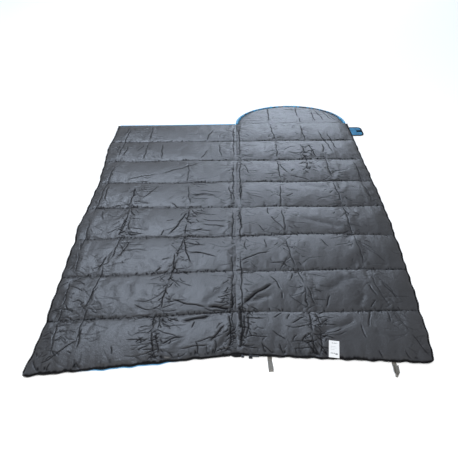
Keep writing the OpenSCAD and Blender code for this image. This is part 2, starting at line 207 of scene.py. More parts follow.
def rough(x, y, size, seed):
    """Smooth unevenness from -1 to 1, with lumps of about that size in metres."""
    spots = np.stack([x.ravel() / size, y.ravel() / size], 1)
    return np.array([noise.noise(Vector((a, b, seed * 7.31))) for a, b in spots]).reshape(x.shape)


def grid_faces(numbers):
    """Faces between the points of a grid whose rows run down (-Y) and columns run right (+X)."""
    low_left, low_right = numbers[1:, :-1], numbers[1:, 1:]
    corners = [low_left, low_right, numbers[:-1, 1:], numbers[:-1, :-1]]
    return np.stack(corners, -1).reshape(-1, 4).tolist()


def sheet_faces(points):
    """Faces of one whole grid of points."""
    nj, ni = points.shape[:2]
    return grid_faces(np.arange(nj * ni).reshape(nj, ni))


def round_grid(nj, ni):
    """The places round the edge of a grid, one after the other."""
    return ([(j, 0) for j in range(nj)] + [(nj - 1, i) for i in range(1, ni)]
            + [(j, ni - 1) for j in range(nj - 2, -1, -1)] + [(0, i) for i in range(ni - 2, 0, -1)])


def new_piece(name, points, faces, material=None):
    """A mesh piece at the origin, with its place in its mesh."""
    mesh = bpy.data.meshes.new(name)
    mesh.from_pydata(np.asarray(points, float).reshape(-1, 3).tolist(), [], faces)
    mesh.validate()
    piece = bpy.data.objects.new(name, mesh)
    scene.collection.objects.link(piece)
    mesh.polygons.foreach_set("use_smooth", [True] * len(mesh.polygons))
    if material:
        mesh.materials.append(material)
    return piece


def only_active(piece):
    """Makes a piece the selected and active one, for an operator to work on."""
    bpy.ops.object.select_all(action="DESELECT")
    bpy.context.view_layer.objects.active = piece
    piece.select_set(True)


def mark(piece, name, values):
    """Gives a piece a number for each of its points, which its finish reads."""
    layer = piece.data.attributes.new(name, "FLOAT", "POINT")
    layer.data.foreach_set("value", np.asarray(values).astype(np.float32).ravel())


def settle(grid, held, slack, seed):
    """Puffs up a laid-out cloth that is a little too long for where it is sewn down:
    it is drawn in from its slack size to its laid size, and buckles between the seams."""
    flat = grid.reshape(-1, 3)
    start = flat.copy()
    start[:, 2] += 0.0015 * rough(flat[:, 0], flat[:, 1], 0.045, seed)
    start[held.ravel()] = flat[held.ravel()]
    cloth = new_piece("settling", start * [1 + slack[0], 1 + slack[1], 1], sheet_faces(grid))
    cloth.shape_key_add(name="Basis")
    laid = cloth.shape_key_add(name="laid")
    laid.data.foreach_set("co", start.astype(np.float32).ravel())
    drawn_in_by, last_frame = 12, 20
    for frame_number, value in ((1, 0), (drawn_in_by, 1)):
        laid.value = value
        laid.keyframe_insert("value", frame=frame_number)
    group = cloth.vertex_groups.new(name="sewn")
    group.add(np.flatnonzero(held.ravel()).tolist(), 1.0, "REPLACE")
    modifier = cloth.modifiers.new("cloth", "CLOTH")
    fabric = modifier.settings
    fabric.vertex_group_mass = "sewn"
    fabric.quality, fabric.mass, fabric.time_scale = 5, 0.1, 2
    fabric.tension_stiffness = fabric.compression_stiffness = 60
    fabric.shear_stiffness, fabric.bending_stiffness = 10, 0.3
    fabric.tension_damping = fabric.compression_damping = fabric.shear_damping = 1
    fabric.bending_damping, fabric.air_damping = 0.2, 1
    fabric.use_pressure, fabric.uniform_pressure_force = True, 0.2
    fabric.effector_weights.gravity = 0
    modifier.collision_settings.use_collision = False
    modifier.point_cache.frame_start, modifier.point_cache.frame_end = 1, last_frame
    for step in range(1, last_frame + 1):
        scene.frame_set(step)
    shown = cloth.evaluated_get(bpy.context.evaluated_depsgraph_get())
    settled = shown.to_mesh()
    out = np.empty(len(settled.vertices) * 3, np.float32)
    settled.vertices.foreach_get("co", out)
    shown.to_mesh_clear()
    scene.frame_set(1)
    mesh = cloth.data
    bpy.data.objects.remove(cloth)
    bpy.data.meshes.remove(mesh)
    return out.reshape(grid.shape).astype(float)


def press(cloth, start, end, depth, width, bow=0.0, shoulder=0.07):
    """Presses one crease into a cloth (height, painted shade, x and y of its points): a narrow
    valley with soft shoulders, and painted shade along its bottom. Depth and width are in
    millimetres. The painted shade is 0 to 1."""
    height, shade_paint, x, y = cloth
    a, b = np.array(start), np.array(end)
    length = max(math.hypot(*(b - a)), 1e-6)
    along = (b - a) / length
    # nothing is narrower than the points can show, and things far off are drawn wider
    width = max(width * 0.72, 2.4) * (1 + 0.55 * unit((a[1] + 0.4) / 1.3))
    reach = 5 * width * mm + abs(bow)
    low, high = np.minimum(a, b) - reach, np.maximum(a, b) + reach
    near = (x > low[0]) & (x < high[0]) & (y > low[1]) & (y < high[1])
    px, py = x[near] - a[0], y[near] - a[1]
    t = (px * along[0] + py * along[1]) / length
    off = -px * along[1] + py * along[0] - 4 * bow * t * (1 - t)
    wander = 0.0016 * np.sin(t * length / 0.011 + a[0] * 90)
    off += wander + 0.0022 * np.sin(t * length / 0.027 + a[1] * 70)
    ends = unit(np.minimum(t, 1 - t) / 0.22)
    ends = eased(ends) * ((t > 0) & (t < 1))
    d = np.abs(off) / (width * mm)
    valley = shoulder * np.exp(-((d - 2.3) / 1.3) ** 2) - np.exp(-d * d)
    height[near] += 0.72 * depth * mm * ends * valley
    # painted shade along the bottom of the crease, darker for deeper creases
    painted_dark = ends * min(1.0, depth / 1.2) ** 1.5 * np.exp(-(d * 1.15) ** 2)
    shade_paint[near] = np.maximum(shade_paint[near], painted_dark)


# Creases pressed in by folding for the pack: path, how deep and how wide (mm)
pack_creases = {
    -1: [
        ([(0.004, 0.94), (0.000, 0.48), (-0.004, 0.0), (-0.010, -0.30), (-0.014, -0.88)], 1.9, 3.4),
        ([(-0.012, -0.60), (-0.024, -0.70), (-0.020, -0.89)], 3.6, 6.0),
        ([(-0.655, 0.92), (-0.675, 0.48), (-0.70, -0.10), (-0.70, -0.33), (-0.685, -0.48)],
         1.6, 3.2),
        ([(-0.69, -0.52), (-0.682, -0.68), (-0.688, -0.75), (-0.665, -0.915)], 2.6, 3.6),
        ([(-0.52, 0.93), (-0.515, 0.71), (-0.525, 0.48)], 1.5, 3.4),
        ([(-0.527, 0.20), (-0.53, 0.02), (-0.53, -0.20), (-0.55, -0.40)], 2.4, 4.0),
        ([(-0.57, -0.42), (-0.585, -0.66), (-0.59, -0.86)], 1.8, 3.6),
        ([(-0.22, 0.00), (-0.235, -0.13), (-0.235, -0.22), (-0.262, -0.40), (-0.28, -0.55),
          (-0.30, -0.70)], 2.4, 4.2),
        ([(-0.312, -0.70), (-0.32, -0.79), (-0.306, -0.91)], 3.2, 4.0),
        ([(-0.292, -0.70), (-0.298, -0.80), (-0.281, -0.91)], 2.4, 3.6),
        ([(-0.26, 0.46), (-0.25, 0.22), (-0.22, 0.02)], 1.6, 3.6),
    ],
    1: [
        ([(0.036, 0.94), (0.034, 0.48), (0.030, 0.0), (0.022, -0.30), (0.018, -0.88)], 1.9, 3.4),
        ([(0.010, -0.66), (0.018, -0.76), (0.012, -0.89)], 3.6, 6.0),
        ([(0.24, 0.945), (0.262, 0.70), (0.25, 0.48), (0.255, 0.25)], 1.8, 3.4),
        ([(0.245, 0.22), (0.235, 0.0), (0.24, -0.22)], 1.7, 3.6),
        ([(0.225, -0.24), (0.26, -0.46), (0.283, -0.56), (0.281, -0.69)], 2.2, 3.8),
        ([(0.286, -0.70), (0.278, -0.82), (0.272, -0.915)], 3.0, 3.8),
        ([(0.302, -0.70), (0.315, -0.79), (0.294, -0.915)], 2.6, 3.8),
        ([(0.433, 0.94), (0.449, 0.69)], 1.6, 3.2),
        ([(0.406, 0.66), (0.420, 0.53), (0.427, 0.45), (0.409, 0.345)], 2.8, 3.8),
        ([(0.53, 0.55), (0.535, 0.25), (0.545, 0.02), (0.55, -0.20), (0.553, -0.46)], 2.0, 3.8),
        ([(0.56, -0.48), (0.60, -0.70), (0.64, -0.82), (0.68, -0.92)], 1.4, 3.4),
        ([(0.69, 0.46), (0.693, 0.20), (0.70, 0.02)], 1.4, 3.2),
    ],
}

# Single folds and pulls between the stitched lines: from, to, depth, width, bow (mm)
loose_folds = {
    -1: [
        (-0.17, 0.46, -0.42, 0.32, 2.6, 5.0, 6), (-0.42, 0.325, -0.60, 0.265, 1.5, 4.5, -5),
        (-0.664, 0.92, -0.69, 0.78, 1.4, 3.2, 4), (-0.125, 0.86, -0.16, 0.71, 1.6, 3.4, -8),
        (-0.69, 0.665, -0.70, 0.585, 1.6, 3.4, 2), (-0.635, 0.66, -0.652, 0.53, 1.5, 3.2, 2),
        (-0.433, 0.69, -0.422, 0.49, 1.8, 3.2, 3), (-0.09, 0.68, -0.065, 0.505, 2.2, 3.6, -3),
        (-0.155, 0.60, -0.19, 0.49, 1.6, 3.4, 3), (-0.54, 0.67, -0.575, 0.58, 1.4, 3.4, 0),
        (-0.672, 0.22, -0.655, 0.05, 2.2, 3.8, -9), (-0.52, 0.20, -0.53, 0.08, 2.2, 3.6, 2),
        (-0.405, 0.215, -0.48, 0.07, 2.2, 4.0, 4), (-0.325, 0.05, -0.285, 0.0, 2.0, 3.6, 0),
        (-0.665, -0.01, -0.64, -0.105, 1.5, 3.4, 3), (-0.517, 0.008, -0.487, -0.075, 2.6, 4.0, -6),
        (-0.515, -0.10, -0.50, -0.19, 2.6, 3.8, 0), (-0.53, -0.09, -0.547, -0.23, 2.2, 3.6, 3),
        (-0.23, -0.02, -0.318, -0.226, 2.6, 5.0, 10), (-0.22, -0.01, -0.175, -0.08, 2.4, 4.0, 0),
        (-0.35, -0.228, -0.33, -0.18, 2.0, 3.4, 0), (-0.482, -0.258, -0.526, -0.38, 2.6, 4.4, 5),
        (-0.24, -0.225, -0.185, -0.44, 2.2, 4.6, -8), (-0.266, -0.345, -0.27, -0.47, 2.2, 4.0, 0),
        (-0.59, -0.465, -0.565, -0.36, 2.0, 4.2, 3), (-0.703, -0.265, -0.697, -0.33, 1.8, 3.6, 0),
        (-0.458, -0.09, -0.418, -0.19, 2.0, 6.0, -6), (-0.478, -0.32, -0.455, -0.385, 1.6, 6.0, -6),
        (-0.455, -0.39, -0.39, -0.385, 1.5, 6.0, 6), (-0.39, -0.39, -0.32, -0.462, 1.6, 6.0, 8),
        (-0.195, -0.34, -0.08, -0.39, 1.6, 5.0, 6), (-0.165, -0.14, -0.03, -0.156, 1.6, 5.0, -5),
        (-0.17, -0.10, -0.03, -0.12, 1.2, 5.0, -5), (-0.595, -0.69, -0.565, -0.55, 1.6, 3.6, 3),
        (-0.283, -0.50, -0.222, -0.572, 2.2, 4.2, -4), (-0.265, -0.63, -0.11, -0.68, 2.8, 5.0, -8),
        (-0.112, -0.676, -0.02, -0.69, 4.2, 6.5, 2), (-0.022, -0.545, -0.138, -0.66, 2.2, 9.0, 6),
        (-0.282, -0.865, -0.19, -0.828, 1.8, 5.0, 6),
        (-0.215, -0.752, -0.095, -0.712, 4.2, 6.0, -5),
        (-0.102, -0.855, -0.042, -0.765, 3.4, 5.0, -3), (-0.214, -0.88, -0.10, -0.868, 2.2, 4.0, 2),
        (-0.28, -0.72, -0.214, -0.752, 2.4, 4.2, 0), (-0.585, -0.83, -0.655, -0.91, 1.8, 3.6, 3),
        (-0.456, -0.865, -0.449, -0.908, 1.6, 3.4, 0), (-0.585, -0.775, -0.58, -0.885, 1.8, 4.0, 0),
        (-0.034, -0.565, -0.047, -0.606, 2.0, 4.0, 0), (-0.08, -0.63, -0.02, -0.614, 2.0, 4.0, 2),
        (-0.163, -0.748, -0.17, -0.79, 1.8, 3.6, 0), (-0.443, -0.53, -0.43, -0.63, 2.0, 7.0, 3),
        (-0.384, -0.58, -0.36, -0.625, 1.6, 6.0, -4), (-0.362, -0.628, -0.39, -0.70, 1.8, 6.0, -4),
        (-0.513, -0.53, -0.497, -0.66, 1.8, 7.0, 4), (-0.695, -0.94, -0.66, -0.926, 1.8, 4.0, 0),
        (-0.038, -0.838, -0.004, -0.785, 3.0, 4.6, 2), (-0.09, -0.89, -0.02, -0.80, 3.0, 6.0, -6),
        (-0.034, 0.205, -0.006, 0.042, 2.6, 4.0, 0), (-0.32, -0.44, -0.34, -0.47, 2.0, 4.0, 0),
        (-0.16, 0.80, -0.30, 0.795, 1.0, 3.2, 0), (-0.36, 0.60, -0.20, 0.52, 0.9, 7.0, 5),
    ],
    1: [
        (0.449, 0.66, 0.488, 0.49, 2.0, 3.4, 0), (0.543, 0.665, 0.53, 0.54, 2.0, 3.4, 2),
        (0.53, 0.86, 0.592, 0.52, 1.5, 3.4, 4), (0.586, 0.82, 0.616, 0.57, 1.4, 3.2, 3),
        (0.48, 0.463, 0.54, 0.464, 1.8, 3.6, -5), (0.31, 0.118, 0.265, 0.09, 1.6, 3.4, 0),
        (0.345, 0.20, 0.52, 0.15, 1.4, 7.0, 10), (0.168, 0.006, 0.172, -0.07, 1.8, 3.8, -5),
        (0.172, -0.07, 0.243, -0.196, 1.6, 4.0, -5), (0.306, -0.08, 0.55, -0.166, 2.2, 8.0, -14),
        (0.691, 0.21, 0.698, 0.065, 1.5, 3.6, -4), (0.035, 0.22, 0.035, 0.06, 2.6, 3.6, 0),
        (0.02, -0.01, 0.031, -0.195, 2.4, 4.0, 0), (0.54, 0.0, 0.56, -0.09, 1.8, 3.6, 2),
        (0.11, -0.145, 0.142, -0.205, 1.5, 3.6, 0), (0.058, 0.43, 0.088, 0.31, 1.8, 3.6, 0),
        (0.26, 0.44, 0.305, 0.31, 1.8, 3.6, -5), (0.39, -0.255, 0.42, -0.325, 1.4, 4.0, 3),
        (0.548, -0.17, 0.552, -0.22, 1.8, 3.6, 0), (0.047, -0.265, 0.052, -0.345, 2.4, 3.8, -4),
        (0.138, -0.248, 0.137, -0.33, 1.6, 3.4, 0), (0.012, -0.418, 0.166, -0.34, 2.0, 4.6, 6),
        (0.54, -0.56, 0.566, -0.63, 3.2, 4.6, 0), (0.14, -0.495, 0.186, -0.60, 2.6, 4.2, 4),
        (0.186, -0.60, 0.185, -0.64, 2.2, 4.0, 0), (0.237, -0.478, 0.23, -0.53, 2.2, 3.6, 0),
        (0.022, -0.68, 0.165, -0.545, 4.2, 6.0, 12), (0.028, -0.668, 0.15, -0.618, 3.2, 6.0, 6),
        (0.286, -0.565, 0.313, -0.68, 2.4, 4.0, 2), (0.47, -0.50, 0.36, -0.605, 2.6, 10.0, 4),
        (0.512, -0.48, 0.452, -0.555, 2.0, 9.0, 4), (0.52, -0.70, 0.488, -0.79, 2.6, 4.2, 3),
        (0.466, -0.77, 0.469, -0.85, 1.8, 3.6, 0), (0.588, -0.705, 0.584, -0.77, 1.6, 3.6, 0),
        (0.31, -0.82, 0.39, -0.775, 3.0, 6.5, 3), (0.37, -0.80, 0.458, -0.75, 2.8, 6.5, 3),
        (0.205, -0.77, 0.268, -0.733, 2.2, 4.4, 2), (0.14, -0.742, 0.178, -0.71, 2.0, 4.0, 2),
        (0.207, -0.715, 0.193, -0.75, 1.8, 3.6, 0), (0.474, -0.68, 0.52, -0.61, 2.4, 6.0, -3),
        (0.348, -0.686, 0.382, -0.615, 1.6, 5.0, 0), (0.485, -0.46, 0.577, -0.345, 2.6, 9.0, -6),
        (0.098, -0.462, 0.01, -0.487, 2.2, 4.4, 5), (0.01, -0.69, 0.012, -0.80, 3.4, 5.0, 3),
        (0.03, -0.70, 0.014, -0.86, 3.2, 4.6, 4), (0.05, -0.71, 0.03, -0.84, 2.4, 4.6, 4),
        (0.523, -0.688, 0.556, -0.645, 1.8, 4.0, 0), (0.594, -0.53, 0.642, -0.655, 1.2, 3.4, 0),
        (0.58, -0.50, 0.66, -0.66, 1.0, 3.4, 0), (0.555, -0.26, 0.62, -0.34, 1.2, 3.4, -3),
        (0.555, -0.27, 0.66, -0.43, 1.0, 3.4, -5), (0.30, 0.30, 0.42, 0.245, 1.2, 4.0, 4),
        (0.60, -0.84, 0.50, -0.80, 1.0, 6.0, 4), (0.13, -0.80, 0.18, -0.85, 1.4, 4.0, 3),
        (0.43, 0.86, 0.56, 0.80, 0.9, 6.0, 5), (0.10, 0.60, 0.22, 0.56, 0.8, 8.0, 4),
    ],
}

cols, row_steps, finer = 60, 19, 5


def row_grid(side, steps, count):
    """Points of one half laid flat, row by row from the head to the foot, without height,
    and how far down its row each line of them is."""
    x = side * np.linspace(0, half_w, count + 1)
    if side < 0:
        x = x[::-1]
    lines, places = [], []
    for row in range(rows):
        last = row == rows - 1
        top = head_y - row * row_l
        bottom = foot_y(x) if last else top - row_l
        for k in range(steps + last):
            lines.append(np.broadcast_to(top + (bottom - top) * k / steps, x.shape))
            places.append(k / steps)
    y = np.array(lines)
    return np.broadcast_to(x, y.shape).copy(), y, np.array(places)


def near_pack_crease(laid, side):
    """1 along the strongest pack creases, and 0 a hand's width away from them."""
    nearness = np.zeros(laid.shape[:2])
    for path, depth, width in pack_creases[side]:
        path = np.array(path)[::-1]
        x_there = np.interp(laid[..., 1], path[:, 1], path[:, 0])
        beyond = np.maximum(laid[..., 1] - path[-1, 1], path[0, 1] - laid[..., 1]).clip(0)
        off = (laid[..., 0] - x_there) ** 2 + beyond ** 2
        nearness = np.maximum(nearness, min(1, depth / 2.4) * np.exp(-off / 0.055 ** 2))
    return nearness


def crowned(side):
    """The puffed top of one half, settled as cloth between its stitched lines."""
    x, y, place = row_grid(side, row_steps, cols)
    puff = unit(np.sin(np.pi * place))[:, None] ** 0.6
    from_side = unit((half_w - np.abs(x)) / 0.06)
    from_fold = 0.45 + 0.55 * unit(np.abs(x) / 0.03)
    z = stitch_z + (loft - 0.001 - stitch_z) * puff * np.sqrt(from_side) * from_fold
    if side > 0:  # filled up to the seam with the hood
        first_row = y > head_y - 0.5 * row_l
        z += seam_fill * (1 - puff) * first_row * np.sqrt(from_side) * unit(x / 0.03)
    grid = np.stack([x, y, z], -1)
    held = np.zeros(x.shape, bool)
    held[::row_steps] = held[-1] = True
    held[:, 0] = held[:, -1] = True
    settled = settle(grid, held, (0.006, 0.004), 1 if side > 0 else 2)
    calm = 0.22 + 0.5 * near_pack_crease(lay(grid), side)
    grid[..., 2] += (settled[..., 2] - grid[..., 2]) * calm
    rows_finer = []
    for row in range(rows):
        part = refined(grid[row * row_steps:(row + 1) * row_steps + 1], finer)
        rows_finer.append(part if row == rows - 1 else part[:-1])
    grid = np.concatenate(rows_finer)
    return refined(grid.transpose(1, 0, 2), finer).transpose(1, 0, 2)


def toward(turn):
    """A direction in plan: 0 points to the foot, and a quarter turn to the right."""
    return np.array([math.sin(turn), -math.cos(turn)])


def clustered(cloth, rng, a, b, depth):
    """Short broken wrinkles beside one stretch of a pack crease, and long fine ones that
    fan out sideways from it."""
    a, b = np.array(a), np.array(b)
    length, short_every, fan_every = math.dist(a, b), 0.0062, 0.014
    for _ in range(int(length / short_every)):
        t = rng.uniform(-0.05, 1.05)
        where = a + (b - a) * t + [rng.normal(0, 0.03), 0]
        turn = rng.choice([-1, 1]) * rng.uniform(0.45, 1.25)
        reach = rng.uniform(0.012, 0.05)
        deep, width = depth * rng.uniform(0.16, 0.6), rng.uniform(2.6, 3.8)
        bow = rng.uniform(-0.2, 0.2) * reach
        press(cloth, where, where + toward(turn) * reach, deep, width, bow)
    for _ in range(int(length / fan_every)):
        t, way = rng.uniform(-0.05, 1.05), rng.choice([-1, 1])
        where = a + (b - a) * t + [rng.normal(0, 0.012), 0]
        turn, reach = rng.normal(-0.1, 0.4), rng.uniform(0.035, 0.13)
        ahead = np.array([way * math.cos(turn), math.sin(turn)]) * reach
        deep = depth * rng.uniform(0.14, 0.52)
        press(cloth, where, where + ahead, deep, 3.4, rng.uniform(-0.14, 0.14) * reach)


def gathered_at_foot(cloth, rng, side, count):
    """Wedge-shaped gathers that run up from the foot seam."""
    for _ in range(count):
        at_x = side * rng.uniform(0.04, 0.70)
        root = laid_at(at_x, float(foot_y(at_x)) + 0.003)
        turn, reach = rng.normal(-0.5, 0.5), rng.uniform(0.016, 0.075)
        ahead, deep = toward(turn) * [1, -1] * reach, rng.uniform(0.5, 2.6)
        start = root - [0, 0.012]
        press(cloth, start, root + ahead * 0.35, deep, rng.uniform(5.0, 9.0))
        press(cloth, start, root + ahead, deep * 0.7, 3.6, rng.uniform(-0.2, 0.2) * reach)


def gathered_at_lines(cloth, rng, side, count):
    """Short gathers across the stitched lines."""
    for _ in range(count):
        at_x, row = side * rng.uniform(0.02, 0.72), rng.integers(1, rows)
        root = laid_at(at_x, head_y - row * row_l)
        turn, reach = rng.normal(0, 0.6), rng.uniform(0.006, 0.020) * rng.choice([-1, 1])
        ahead = toward(turn) * [1, -1] * reach
        deep, width = rng.uniform(0.4, 1.4), rng.uniform(3.0, 4.0)
        press(cloth, root - ahead * 0.25, root + ahead, deep, width)


def wrinkled(grid, side):
    """Adds what the folding and the sewing leave in the lining. Gives the laid grid and the painted
    shade of its creases and stitched lines.
    """
    flat_x, flat_y = grid[..., 0], grid[..., 1]
    laid_grid = lay(grid)
    x, y = laid_grid[..., 0], laid_grid[..., 1]
    height = laid_grid[..., 2].copy()
    # painted shade in the creases, and a fainter painted shade for the wide shallow folds
    shade_paint, faint_shade = np.zeros(height.shape), np.zeros(height.shape)
    cloth = height, shade_paint, x, y
    rng = np.random.default_rng(41 if side > 0 else 57)
    # broad soft unevenness of the wadding
    height += 0.0016 * rough(x, y, 0.15, 3 * side) + 0.0005 * rough(x, y, 0.06, 5 * side)
    # distance from the nearest stitched line, and from the seams round the half
    row_place = (head_y - flat_y) / row_l
    line_number = np.round(row_place)
    line_off = np.abs(row_place - line_number) * row_l
    line_off = np.where(flat_y < head_y - 7.5 * row_l, flat_y - foot_y(flat_x), line_off)
    line_off = np.maximum(line_off, 0)
    side_off, fold_off = half_w - np.abs(flat_x), np.abs(flat_x)
    foot_off = np.maximum(flat_y - foot_y(flat_x), 0)
    # short gathers that the thread draws up along every line
    comb = rough(x, np.floor(row_place + 0.5) * 3.0, 0.011, 9)
    comb = comb + 0.6 * rough(x, line_number * 5.0, 0.005, 11)
    strength = 0.5 + 0.5 * np.clip(rough(x, y, 0.11, 13) * 2, -1, 1)
    beside_line = np.exp(-(line_off / 0.013) ** 2)
    height += 0.0016 * comb * strength * beside_line * (1 - np.exp(-(line_off / 0.003) ** 2))
    # and longer ones along the foot, where the thick edge bunches
    beside_foot = np.exp(-(foot_off / 0.035) ** 2)
    bunches = 0.0016 * rough(x, y * 0 + 2.0, 0.021, 21)
    height += bunches * beside_foot * (1 - np.exp(-(foot_off / 0.006) ** 2))
    for path, depth, width in pack_creases[side]:
        for a, b in zip(path, path[1:]):
            deep = depth * rng.uniform(0.7, 1.1)
            press(cloth, a, b, deep, width * 0.85, rng.uniform(-0.003, 0.003))
            clustered(cloth, rng, a, b, depth)
    # the middle rows of the left half are drawn into long fine wrinkles towards the fold
    for _ in range(48 if side < 0 else 0):
        start_x = rng.choice([-0.235, -0.235, -0.53]) + rng.normal(0, 0.018)
        where = np.array([start_x, rng.uniform(-0.36, 0.30)])
        turn, reach = rng.normal(-0.10, 0.20), rng.uniform(0.05, 0.17)
        ahead = np.array([math.cos(turn), math.sin(turn)]) * reach
        deep = rng.uniform(0.5, 1.7)
        press(cloth, where, where + ahead, deep, 3.6, rng.uniform(-0.12, 0.12) * reach)
    # wide shallow folds mostly shade the cloth by their shape, with only a faint painted shade, and
    # the deep ones are drawn wide
    for x1, y1, x2, y2, depth, width, bow in loose_folds[side]:
        if width > 5.5 and depth < 4:
            soft = height, faint_shade, x, y
            press(soft, (x1, y1), (x2, y2), depth * 0.9, width * 2.6, bow * mm, 0.3)
        else:
            press(cloth, (x1, y1), (x2, y2), depth, width * (1.6 if depth > 4 else 0.9), bow * mm)
    shade_paint[:] = np.maximum(shade_paint, 0.22 * faint_shade)
    gathered_at_foot(cloth, rng, side, 26 if side < 0 else 20)
    gathered_at_lines(cloth, rng, side, 560)
    # faint wrinkles scattered everywhere
    for _ in range(150):
        where = np.array([side * rng.uniform(0.03, 0.72), rng.uniform(-0.9, 0.93)])
        turn, reach = rng.uniform(-1.3, 1.3), rng.uniform(0.012, 0.045)
        deep, width = rng.uniform(0.25, 0.8), rng.uniform(2.6, 4.5)
        bow = rng.uniform(-0.15, 0.15) * reach
        press(cloth, where, where + toward(turn) * reach, deep, width, bow)
    # everything dies away at the sewn edges, and the top never dips to the shell
    end_off = np.where(flat_y > 0, head_y - flat_y, foot_off)
    keep = unit(np.minimum(side_off, end_off) / 0.012)
    keep = keep * unit(fold_off / 0.006)
    near_line = unit(line_off / 0.004) * 0.8 + 0.2
    height = laid_grid[..., 2] + (height - laid_grid[..., 2]) * keep * near_line
    laid_grid[..., 2] = np.clip(height, lining_low, lining_high)
    # the lining stands a little over the zip tape, unevenly
    over = 0.0035 + 0.0030 * rough(x, y, 0.03, 29)
    past_side = side * over * np.exp(-(side_off / 0.018) ** 2)
    laid_grid[..., 0] += past_side * unit((0.9 - flat_y) / 0.05)
    past_foot = over * np.exp(-(foot_off / 0.018) ** 2)
    laid_grid[..., 1] -= past_foot * (flat_y < 0) * unit(fold_off / 0.04)
    # painted shade along the stitched lines, for the groove the thread draws down: darker and wider
    # where it draws tight, in uneven bits
    shade_paint = shade_paint * keep
    line_shade_strength = np.clip(0.72 + 0.8 * rough(x, line_number * 3.0, 0.09, 17), 0.3, 1.0)
    line_shade_strength = np.where(flat_y > head_y - 0.5 * row_l, 0.12, line_shade_strength)
    bitty = np.clip(0.8 + 0.9 * rough(x, line_number * 3.0, 0.009, 19), 0.25, 1.25)
    line_width = 0.0020 + 0.0034 * line_shade_strength * bitty
    painted_dark = unit(line_shade_strength * bitty) * np.exp(-(line_off / line_width) ** 2)
    return laid_grid, np.maximum(shade_paint, painted_dark)


def closed_pad(name, top, shade_paint, base_z, edge_z, step, material):
    """Closes a pad below its top: a low wall all round, and a plain underside on the shell."""
    nj, ni = top.shape[:2]
    low = top.copy()
    low[..., 2] = base_z
    ring = np.zeros((nj, ni), bool)
    ring[0] = ring[-1] = True
    ring[:, 0] = ring[:, -1] = True
    low[ring, 2] = edge_z
    lines = list(range(0, nj - 1, step)) + [nj - 1]
    used = ring.copy()
    used[lines] = True
    numbers = np.arange(nj * ni).reshape(nj, ni)
    below = np.full((nj, ni), -1)
    below[used] = nj * ni + np.arange(used.sum())
    faces = grid_faces(numbers)
    around = round_grid(nj, ni)
    for a, b in zip(around, around[1:] + around[:1]):
        faces.append([int(numbers[b]), int(numbers[a]), int(below[a]), int(below[b])])
    for j, k in zip(lines, lines[1:]):
        upper, lower = below[j].tolist(), below[k].tolist()
        left, right = below[j:k + 1, 0].tolist(), below[j:k + 1, ni - 1].tolist()
        faces.append(left[::-1] + [upper[1], lower[1]])
        for i in range(1, ni - 2):
            faces.append([upper[i], upper[i + 1], lower[i + 1], lower[i]])
        faces.append([upper[ni - 2]] + right + [lower[ni - 2]])
    pad = new_piece(name, np.concatenate([top.reshape(-1, 3), low[used]]), faces, material)
    only_active(pad)
    bpy.ops.object.shade_smooth_by_angle(angle=math.radians(62))
    # the painted shade of the top's creases and stitched lines, and none on the points below
    mark(pad, "painted_shade", np.concatenate([shade_paint.ravel(), np.zeros(used.sum())]))
    return pad


def add(tree, kind, settings=None, **inputs):
    """Adds a node with its settings, and fills its inputs."""
    node = tree.nodes.new(kind)
    for name, value in (settings or {}).items():
        setattr(node, name, value)
    fill(tree, node, **inputs)
    return node


def pattern(tree, kind, scale, bands=None, **inputs):
    """Adds a texture laid out in the piece's own measure. Gives its grey value."""
    spot = add(tree, "ShaderNodeTexCoord")
    texture = add(tree, kind, {"bands_direction": bands} if bands else None,
                  Vector=spot.outputs["Object"], Scale=scale, **inputs)
    return texture.outputs["Distance" if kind == "ShaderNodeTexVoronoi" else "Fac"]


def noisy(tree, scale, **inputs):
    """Cloudy unevenness; scale is its lumps to the metre."""
    return pattern(tree, "ShaderNodeTexNoise", scale, **inputs)


def banded(tree, scale, bands, **inputs):
    """Even ribs or threads, across X, across Y or slanting."""
    return pattern(tree, "ShaderNodeTexWave", scale, bands, **inputs)


def woven(tree, scale, **inputs):
    """Threads both ways, and where they cross."""
    weft, warp = banded(tree, scale, "X", **inputs), banded(tree, scale, "Y", **inputs)
    return add(tree, "ShaderNodeMath", {"operation": "MULTIPLY"}, _0=weft, _1=warp).outputs[0]


def ramped(tree, value, start, end, first, last):
    """A colour that runs from the first to the last between two values."""
    ramp = add(tree, "ShaderNodeValToRGB", Fac=value)
    for element, position, colour in zip(ramp.color_ramp.elements, (start, end), (first, last)):
        element.position, element.color = position, linear(colour)
    return ramp.outputs["Color"]


def marked(tree, name):
    """The number that the points of a piece carry under a name."""
    return add(tree, "ShaderNodeAttribute", {"attribute_name": name}).outputs["Fac"]


def mixed(tree, share, first, second):
    """The first colour where the share is 0, and the second where it is 1."""
    mix = add(tree, "ShaderNodeMix", {"data_type": "RGBA"}, _0=share, _6=first, _7=second)
    return mix.outputs[2]


def raised(tree, shader, height, strength, distance):
    """Bumps a surface by a pattern, on top of the bump that it has already."""
    bump = add(tree, "ShaderNodeBump", Height=height, Strength=strength, Distance=distance)
    normal = shader.inputs["Normal"]
    if normal.is_linked:
        tree.links.new(normal.links[0].from_socket, bump.inputs["Normal"])
    tree.links.new(bump.outputs["Normal"], normal)


# Lining: 190T polyester taffeta, plain woven and calendered. That gives a dark slate
# cloth with a low broad sheen and a fine crinkle. Its creases and stitched lines are painted nearly
# black, as painted shade.
taffeta, tree, shader = finish_named("slate polyester taffeta")
crease_shade, cloud = marked(tree, "painted_shade"), noisy(tree, 3.2, Detail=3.0, Roughness=0.55)
tint = ramped(tree, cloud, 0.34, 0.68, "#232427", "#2a2b2e")
gloss = add(tree, "ShaderNodeMapRange", Value=cloud, _3=0.39, _4=0.46).outputs["Result"]
dulled = add(tree, "ShaderNodeMath", {"operation": "MAXIMUM"}, _0=gloss, _1=crease_shade).outputs[0]
